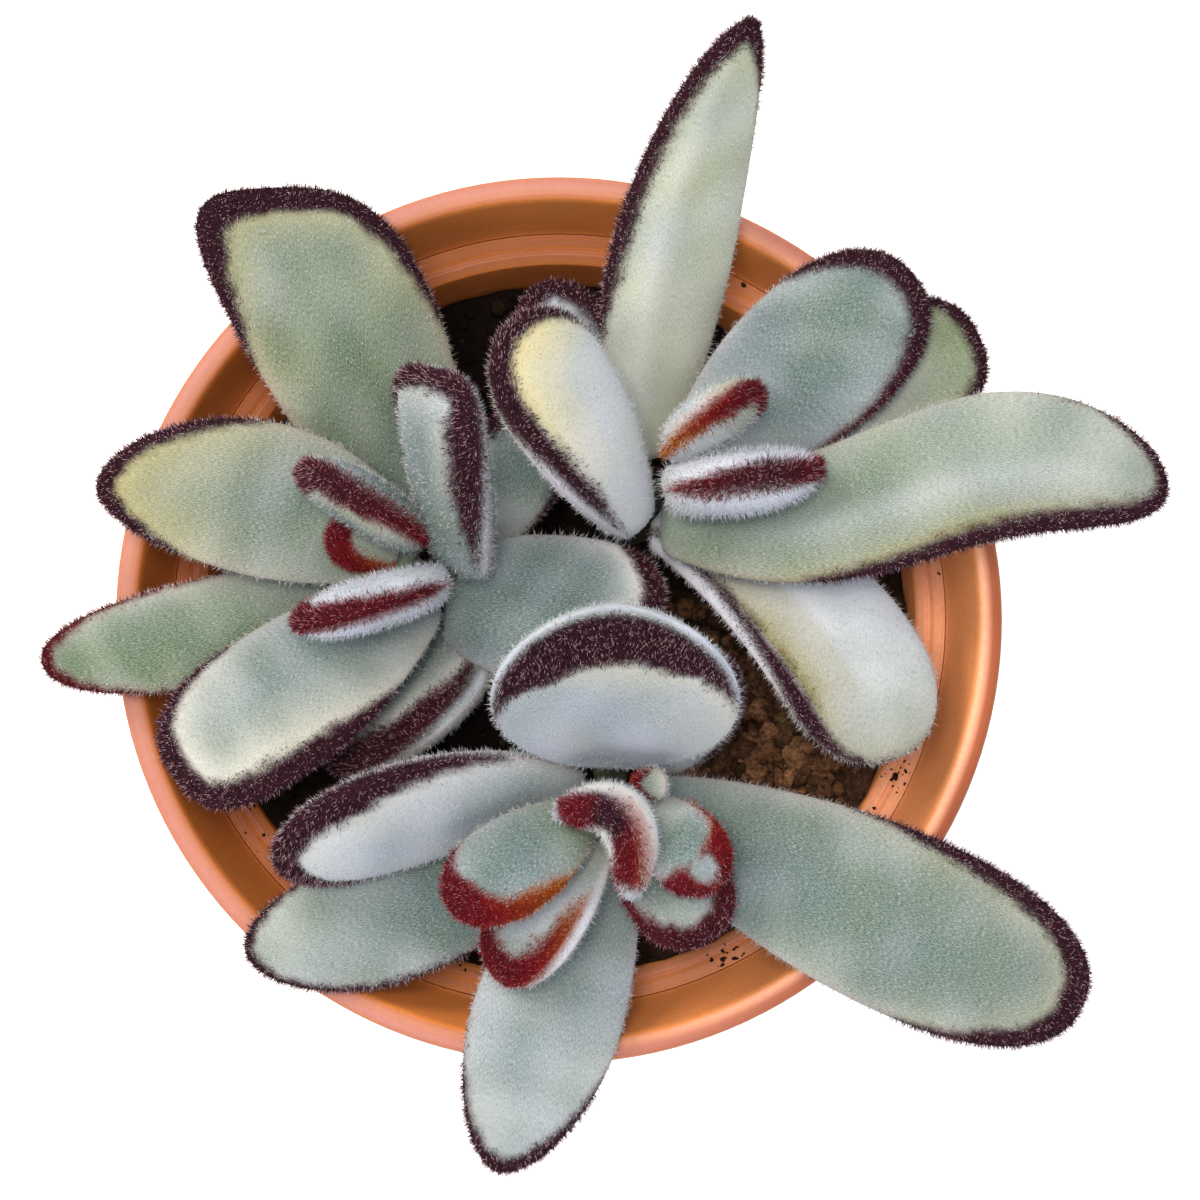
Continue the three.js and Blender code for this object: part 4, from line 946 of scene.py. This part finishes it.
def grow_hairs(grid, fields, upper, shag, draw):
    """Spikes on a stack of rings. fields holds arrays of the grid's shape that each hair takes along."""
    rings, sides = grid.shape[:2]
    normal = grid_normals(grid)
    tangent = unit(np.gradient(grid, axis=0))
    after = np.roll(grid, -1, axis=1)
    area = np.linalg.norm(np.cross(after[:-1] - grid[:-1], grid[1:] - grid[:-1]), axis=-1)
    face = np.where(upper, HAIR_DENSITY["face"], HAIR_DENSITY["under"])
    density = blend_by(face, HAIR_DENSITY["edge"], HAIR_DENSITY["fur"], fields)
    expected = (area * density[:-1]).ravel()
    count = int(expected.sum())
    cell = draw.choice(len(expected), count, p=expected / expected.sum())
    ring, side = np.divmod(cell, sides)
    a, b = draw.uniform(size=(2, count))

    def at(field):
        """Value between the four corners of the cell."""
        corner = field.reshape(rings, sides, -1)
        nxt = (side + 1) % sides
        low = corner[ring, side] * (1 - b)[:, None] + corner[ring, nxt] * b[:, None]
        high = corner[ring + 1, side] * (1 - b)[:, None] + corner[ring + 1, nxt] * b[:, None]
        return low * (1 - a)[:, None] + high * a[:, None]

    taken = {key: at(np.asarray(field, float))[:, 0] for key, field in fields.items()}
    taken["band"] = np.where(taken["band"] > draw.uniform(0, 1, count), 1.0, 0.0)
    fur = np.maximum(taken["edge"], taken["band"])
    out, ahead = unit(at(normal)), unit(at(tangent))
    way = unit(out * (STAND + FUR_STANDS * fur)[:, None] + ahead * (LEAN - FUR_LEANS_LESS * fur)[:, None]
               + draw.normal(0, TANGLE, (count, 3)))
    length = blend_by(HAIR_LENGTH["face"], HAIR_LENGTH["edge"], HAIR_LENGTH["fur"], taken)
    length = length * shag * draw.uniform(0.55, 1.2, count)
    radius = blend_by(HAIR_RADIUS["face"], HAIR_RADIUS["face"], HAIR_RADIUS["fur"], taken)
    luck = draw.uniform(size=count)
    radius = radius * np.where(luck > SHINY, 1.25, 0.9)
    foot = at(grid) - ROOTED * out
    side_way = unit(np.cross(way, draw.normal(size=(count, 3))))
    other_way = np.cross(way, side_way)
    turn = 2 * np.pi * np.arange(3)[:, None] / 3
    base = foot[:, None] + radius[:, None, None] * (
        np.cos(turn) * side_way[:, None] + np.sin(turn) * other_way[:, None])
    tip = foot + way * length[:, None]
    points = np.concatenate([base, tip[:, None]], axis=1).reshape(-1, 3)
    spike = np.array([(0, 1, 3), (1, 2, 3), (2, 0, 3), (0, 2, 1)])
    triangles = (spike + 4 * np.arange(count)[:, None, None]).reshape(-1, 3)
    values = {key: np.repeat(value, 4) for key, value in taken.items()}
    values["hair"] = np.tile([0.2, 0.2, 0.2, 1.0], count)  # foot and tip; on the skin it is 0
    values["luck"] = np.repeat(luck, 4)
    return points, triangles, values


# %% [markdown]
# ## Leaf felt
# The flesh is grey-green, greener on old leaves and bluer on young ones. The felt lightens it, and its
# hairs, which are hollow and full of air, scatter light like fine velvet: a little sheen does that on the
# flesh. Dark hairs are purple brown, crimson while young and orange where they start, and a painted
# glint lightens the upper half of some of them. The skin under the fur and the feet of the dark hairs are
# painted near black, as shade between the hairs. Every colour is mixed by the numbers stored on the
# points, so one material serves flesh and hairs of all the leaves. The felt's strokes are drawn in the
# leaf's own millimetres, long towards the tip, and about a tenth of a millimetre wide, ten times a real
# hair, because finer ones wouldn't show.

# %% Leaf felt material
STROKES_PER_MM, MOTTLE = 6, 3  # strokes in a mm, and mm from blot to blot
leaf_felt, tree = empty_material("leaf_felt")
place = add(tree, "TexCoord").outputs["Object"]
band, glow, gold, red, warm, felt, blush, hair, luck = (
    add(tree, "Attribute", attribute_name=key).outputs["Fac"]
    for key in ("band", "glow", "gold", "red", "warm", "felt", "blush", "hair", "luck"))
leaf_mm = add(tree, "Attribute", attribute_name="leaf_mm").outputs["Vector"]
strokes = add(tree, "TexNoise", {"Vector": leaf_mm, "Scale": STROKES_PER_MM, "Detail": 3,
                                 "Roughness": 0.65}).outputs["Fac"]
mottle = add(tree, "TexNoise", {"Vector": place, "Scale": 1 / (MOTTLE * MM), "Detail": 4}).outputs["Fac"]
white = paint(tree, "#c3c9d8", (warm, "#c2c5a8"))
halo = paint(tree, "#cfd1d2", ((gold, 0, 0.5), "#dccb7c"), ((gold, 0.5, 1), "#7c7228"))
flesh = paint(tree, "#4e6464", (warm, "#566b33"), ((mottle, 0.3, 0.7, 0.2, 0), "#344f3c"), (felt, white),
              (glow, halo), ((blush, 0, 2.5), "#a87a6c"), ((strokes, 0.45, 0.65, 0, 0.36), "#c4c9c8"),
              ((strokes, 0.5, 0.34, 0, 0.32), "#445349"))
young = paint(tree, "#981422", ((red, 0.5, 1), "#dc7e18"))
fur = paint(tree, "#6b364a", ((red, 0.1, 0.5), young))
# Painted shade: the skin under the fur is near black, over the fur's own dark colour, as shade between
# hairs.
deep_young_and_shade = paint(tree, "#5e060e", ((red, 0.6, 1), "#7c3a0a"))
deep_fur_and_shade = paint(tree, "#13060e", ((red, 0.15, 0.6), deep_young_and_shade))
skin = paint(tree, deep_fur_and_shade, ((strokes, 0.35, 0.7, 0, 0.35), fur))
# Painted glint: a pale colour over the upper half of the stoutest dark hairs.
young_shine = paint(tree, "#c4565e", ((red, 0.5, 1), "#dca060"))
shine = paint(tree, "#ccb0b6", ((red, 0.1, 0.5), young_shine))
stout = add(tree, "MapRange", {0: luck, 1: SHINY, 2: 0.9, 3: 0, 4: 0.8}).outputs[0]
tip_half = add(tree, "MapRange", {0: hair, 1: 0.25, 2: 0.75}).outputs[0]
glint = add(tree, "Math", {0: stout, 1: tip_half}, operation="MULTIPLY").outputs[0]
# Dark hairs run from near black at the foot, painted shade, to the fur's colour towards the tip.
lighter = add(tree, "MapRange", {0: luck, 1: 0.1, 2: 0.85}).outputs[0]
lighter = add(tree, "Math", {0: lighter, 1: hair}, operation="MULTIPLY").outputs[0]
dark_hair = paint(tree, deep_fur_and_shade, (lighter, fur), (glint, shine))
pale_hair = paint(tree, flesh, ((luck, 0, 1, 0, 0.8), "#e2e5e9"))
is_hair = add(tree, "Math", {0: hair, 1: 0.05}, operation="GREATER_THAN").outputs[0]
colour = paint(tree, paint(tree, flesh, (band, skin)),
               (is_hair, paint(tree, pale_hair, (band, dark_hair))))
surface(tree, {"Base Color": colour, "Roughness": 0.85, "Specular IOR Level": 0.1, "Sheen Weight": 0.03,
               "Sheen Roughness": 0.4}, strokes, 0.16, 0.7)
print("leaf felt:", len(tree.nodes), "nodes")

# %% [markdown]
# ## The folded leaf
# The youngest leaf of the south rosette is still folded round the bud. From above only its crest shows,
# bent like a boomerang. It is a bent path with an oval section, deep where it stands on the stem and
# flatter in both arms, that shrinks at the ends.

# %% Folded leaf
FOLDED = "leaf_south_12"
FOLDED_PATH = np.array([(-0.6, -23.4, 115), (11.4, -18.4, 122), (8.7, -33.6, 114.5)])  # mm, 3 corners
FOLDED_WIDTH, FOLDED_DEPTH, FOLDED_ARM = 6.4, 9.0, 2.2  # mm, across, down at the stem and at both arms
FOLDED_CREST = 2.4  # mm
KEEL_AT, KEEL_LENGTH = 0.42, 0.13  # shares of the path
NARROW, BULGE, WIDER = 0.72, 0.28, 0.14  # of the width: at the start, and more in the bend and at the end


def folded_grid(rings, sides):
    """Rings on a parabola. The width shrinks as the square root of 1 minus the fourth power of the place
    along the path, counted from -1 to 1, and is fuller in the bend and at the far end. The crest shrinks in
    the same way, and the depth as the square of it."""
    t = np.sin(np.linspace(-0.5, 0.5, rings + 2)[1:-1] * np.pi) / 2 + 0.5
    a, b, c = FOLDED_PATH
    path = (1 - t)[:, None] ** 2 * a + (2 * t * (1 - t))[:, None] * b + t[:, None] ** 2 * c
    tangent = unit(np.gradient(path, axis=0))
    left = unit(np.cross([0, 0, 1], tangent))
    up = np.cross(tangent, left)
    angle = turns(sides)
    full = np.sqrt(np.clip(1 - (2 * t - 1) ** 4, 0, 1))
    half = FOLDED_WIDTH / 2 * full * (NARROW + BULGE * arch(t) ** 2 + WIDER * t)
    keel = np.exp(-(((t - KEEL_AT) / KEEL_LENGTH) ** 2))  # the arms pass over their neighbours
    deep = (FOLDED_ARM + (FOLDED_DEPTH - FOLDED_ARM) * keel) * full
    x = np.cos(angle)
    over = np.where(np.sin(angle) > 0, FOLDED_CREST, deep[:, None]) * full[:, None] * np.sin(angle)
    grid = path[:, None] + (half[:, None] * x)[..., None] * left[:, None] + over[..., None] * up[:, None]
    grid[..., 2] -= FOLDED_CREST
    shape = grid.shape[:2]
    return grid, np.broadcast_to(t[:, None], shape), np.broadcast_to(x, shape), half[:, None] * x, over


def folded_finish(leaf, grid, t, x, across, over):
    """The crest carries a dark stripe, redder towards the outer side of the bend, within a white border."""
    end = smoothstep(0.02, 0.08, t) * smoothstep(0.97, 0.88, t)
    top = smoothstep(-0.5, 0.6, over)
    outer_arm = smoothstep(0.3, 0.5, t)  # past the bend the stripe's outer half is tan
    stripe = smoothstep(-2.9, -2, across) * smoothstep(2.4, 1.2 - 1.2 * outer_arm, across) * end * top
    tan = outer_arm * smoothstep(-0.6, 0.8, across) * smoothstep(2.9, 2, across) * end
    red = 0.42 - 0.4 * np.exp(-(((t - 0.44) / 0.16) ** 2)) + 0.25 * tan
    flat = np.ones_like(stripe)
    return dict(band=stripe, red=np.clip(red, 0, 1), glow=0.7 * smoothstep(1.5, 2.6, np.abs(across)) * top,
                edge=flat * leaf["fuzz"], felt=flat * leaf["felt"], warm=flat * 0.1,
                gold=flat * 0.05, blush=1.9 * tan)


# %% [markdown]
# ## The leaves
# Now each row becomes a leaf. Its skin and its hairs are one mesh, so the hairs stay with their leaf, and
# one seed for each leaf makes the same hairs on every run. The finish is stored on the points, and a
# point on a hair takes the values of the place where it is rooted.

# %% Make the leaves
STROKES_ALONG, STROKES_ACROSS = 0.36, 1.5  # the felt's strokes are about four times as long as wide
FACE_GAP = 3  # keeps the strokes of the upper and the lower face apart
RING_COUNTS = (22, 52)  # a ring for each mm of length, within these counts
SIDES_PER_MM, SIDE_COUNTS = 2.1, (24, 46)  # sides for each mm of width


def make_leaf(name, row, seed):
    """The leaf's skin and its hairs in one mesh, which stands for the CAD leaf of that name."""
    leaf = {**LEAF, **FINISH, **row}
    length = np.linalg.norm(np.subtract(leaf["tip"], leaf["root"]))
    rings = int(np.clip(length, *RING_COUNTS))
    sides = int(np.clip(leaf["width"] * SIDES_PER_MM, *SIDE_COUNTS)) // 2 * 2
    if name == FOLDED:
        grid, u, x, across, over = folded_grid(rings, sides)
        fields = folded_finish(leaf, grid, u, x, across, over)
    else:
        grid, u, x, over = leaf_grid(leaf, rings, sides)
        fields = leaf_finish(leaf, grid, u, x, over, seed)
    hair_points, hair_triangles, hair_values = grow_hairs(grid, fields, over >= 0, leaf["shag"],
                                                          np.random.default_rng(seed))
    hair_values.pop("edge")
    fields.pop("edge")
    ends = 2 * grid[0].mean(0) - grid[1].mean(0), 2 * grid[-1].mean(0) - grid[-2].mean(0)
    points = with_poles(ends[0], grid, ends[1])
    values = {key: with_poles(field[0].mean(), field[..., None], field[-1].mean())[:, 0]
              for key, field in fields.items()}
    values["hair"] = np.zeros(len(points))
    values["luck"] = np.zeros(len(points))
    quads, triangles = skin_faces(rings, sides)
    all_values = {key: np.concatenate([values[key], hair_values[key]]) for key in values}
    piece = mesh_piece(name.replace("leaf", "panda_leaf"), np.concatenate([points, hair_points]), quads,
                       np.concatenate([triangles, hair_triangles + len(points)]), leaf_felt, all_values)
    stroke = [STROKES_ALONG * u * length, STROKES_ACROSS * x * leaf["width"] / 2, np.sign(over) * FACE_GAP]
    stroke = with_poles([0, 0, 0], np.stack(stroke, -1), [STROKES_ALONG * length, 0, 0])
    stroke = np.concatenate([stroke, np.zeros((len(hair_points), 3))]).astype(np.float32)
    layer = piece.data.attributes.new("leaf_mm", "FLOAT_VECTOR", "POINT")
    layer.data.foreach_set("vector", stroke.ravel())
    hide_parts(name)
    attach(piece, "root")
    return piece


total = 0
for seed, (name, row) in enumerate(LEAVES.items()):
    piece = make_leaf(name, row, 100 + seed)
    total += triangle_count(piece)
print("leaves:", total, "triangles")

# %% [markdown]
# ## The stems
# The stems are short, round and felted, with the scars of dropped leaves. They follow the CAD stems:
# upright in the soil, then leaning over to the growing tip. They are matt, and painted a dark olive,
# near black, as painted shade under the leaves.

# %% Stems
STEMS = {
    "stem_west": ((-11, 4), (-14, 6.5, 102)),
    "stem_east": ((9, 12), (12, 16, 103)),
    "stem_south": ((6, -17), (7, -22, 106)),
}
STEM_BASE, STEM_TOP, STEM_BURIED, STEM_BUD = 3.4, 1.3, 20, 1.0
STEM_RINGS, STEM_SIDES = 60, 28
SCAR, SCAR_SPACING, FIBRE = 0.25, 3.6, 0.5  # mm
stem_felt, tree = empty_material("stem_felt")
place = add(tree, "TexCoord").outputs["Object"]
fibre = add(tree, "TexNoise", {"Vector": place, "Scale": 1 / (FIBRE * MM), "Detail": 4}).outputs["Fac"]
# Painted shade: the stem is coloured near-black olive, as it stands in the leaves' shade.
base = paint(tree, "#171a0e", (fibre, "#3c402c"))
surface(tree, {"Base Color": base, "Roughness": 0.9}, fibre, 0.2)


def make_stem(name, foot, tip):
    """Level rings along the stem's line, swollen where leaves have dropped, with a round bud on top."""
    ground = soil_ground(np.array(foot[0]), np.array(foot[1]))
    z = np.linspace(ground - STEM_BURIED, tip[2], STEM_RINGS)
    over = np.clip((z - ground) / (tip[2] - ground), 0, 1) ** 1.4
    x, y = (foot[axis] + over * (tip[axis] - foot[axis]) for axis in (0, 1))
    middle = np.stack([x, y, z], axis=-1)
    turn = turns(STEM_SIDES)
    share = (z - z[0]) / (z[-1] - z[0])
    radius = STEM_BASE + share * (STEM_TOP - STEM_BASE)
    scar = SCAR * np.cos(2 * np.pi * z[:, None] / SCAR_SPACING + 2 * turn)
    ring = np.stack([np.cos(turn), np.sin(turn), np.zeros(STEM_SIDES)], axis=-1)
    grid = middle[:, None] + (radius[:, None] + scar)[..., None] * ring
    cap = np.linspace(0.15, 0.9, 5)[:, None, None]
    bud = middle[-1] + np.sqrt(1 - cap**2) * STEM_TOP * ring + cap * [0, 0, STEM_BUD]
    grid = np.concatenate([grid, bud])
    quads, triangles = skin_faces(len(grid), STEM_SIDES)
    points = with_poles(middle[0], grid, middle[-1] + [0, 0, STEM_BUD])
    stem = mesh_piece("felted_" + name, points, quads, triangles, stem_felt)
    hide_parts(name)
    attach(stem, "root")
    return stem


for name, (foot, tip) in STEMS.items():
    print(name + ":", triangle_count(make_stem(name, foot, tip)), "triangles")

# %% [markdown]
# ## The size
# How far each side of the finished model's box stands past the CAD box is printed, in mm. The
# finished model may stand proud of the CAD box only by the length of its hairs.

low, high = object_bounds()
grown = [round((b - a) * 1000, 2) for a, b in zip((*cad_low, *cad_high), (*low, *high))]
print("finished box minus CAD box in mm:", grown)
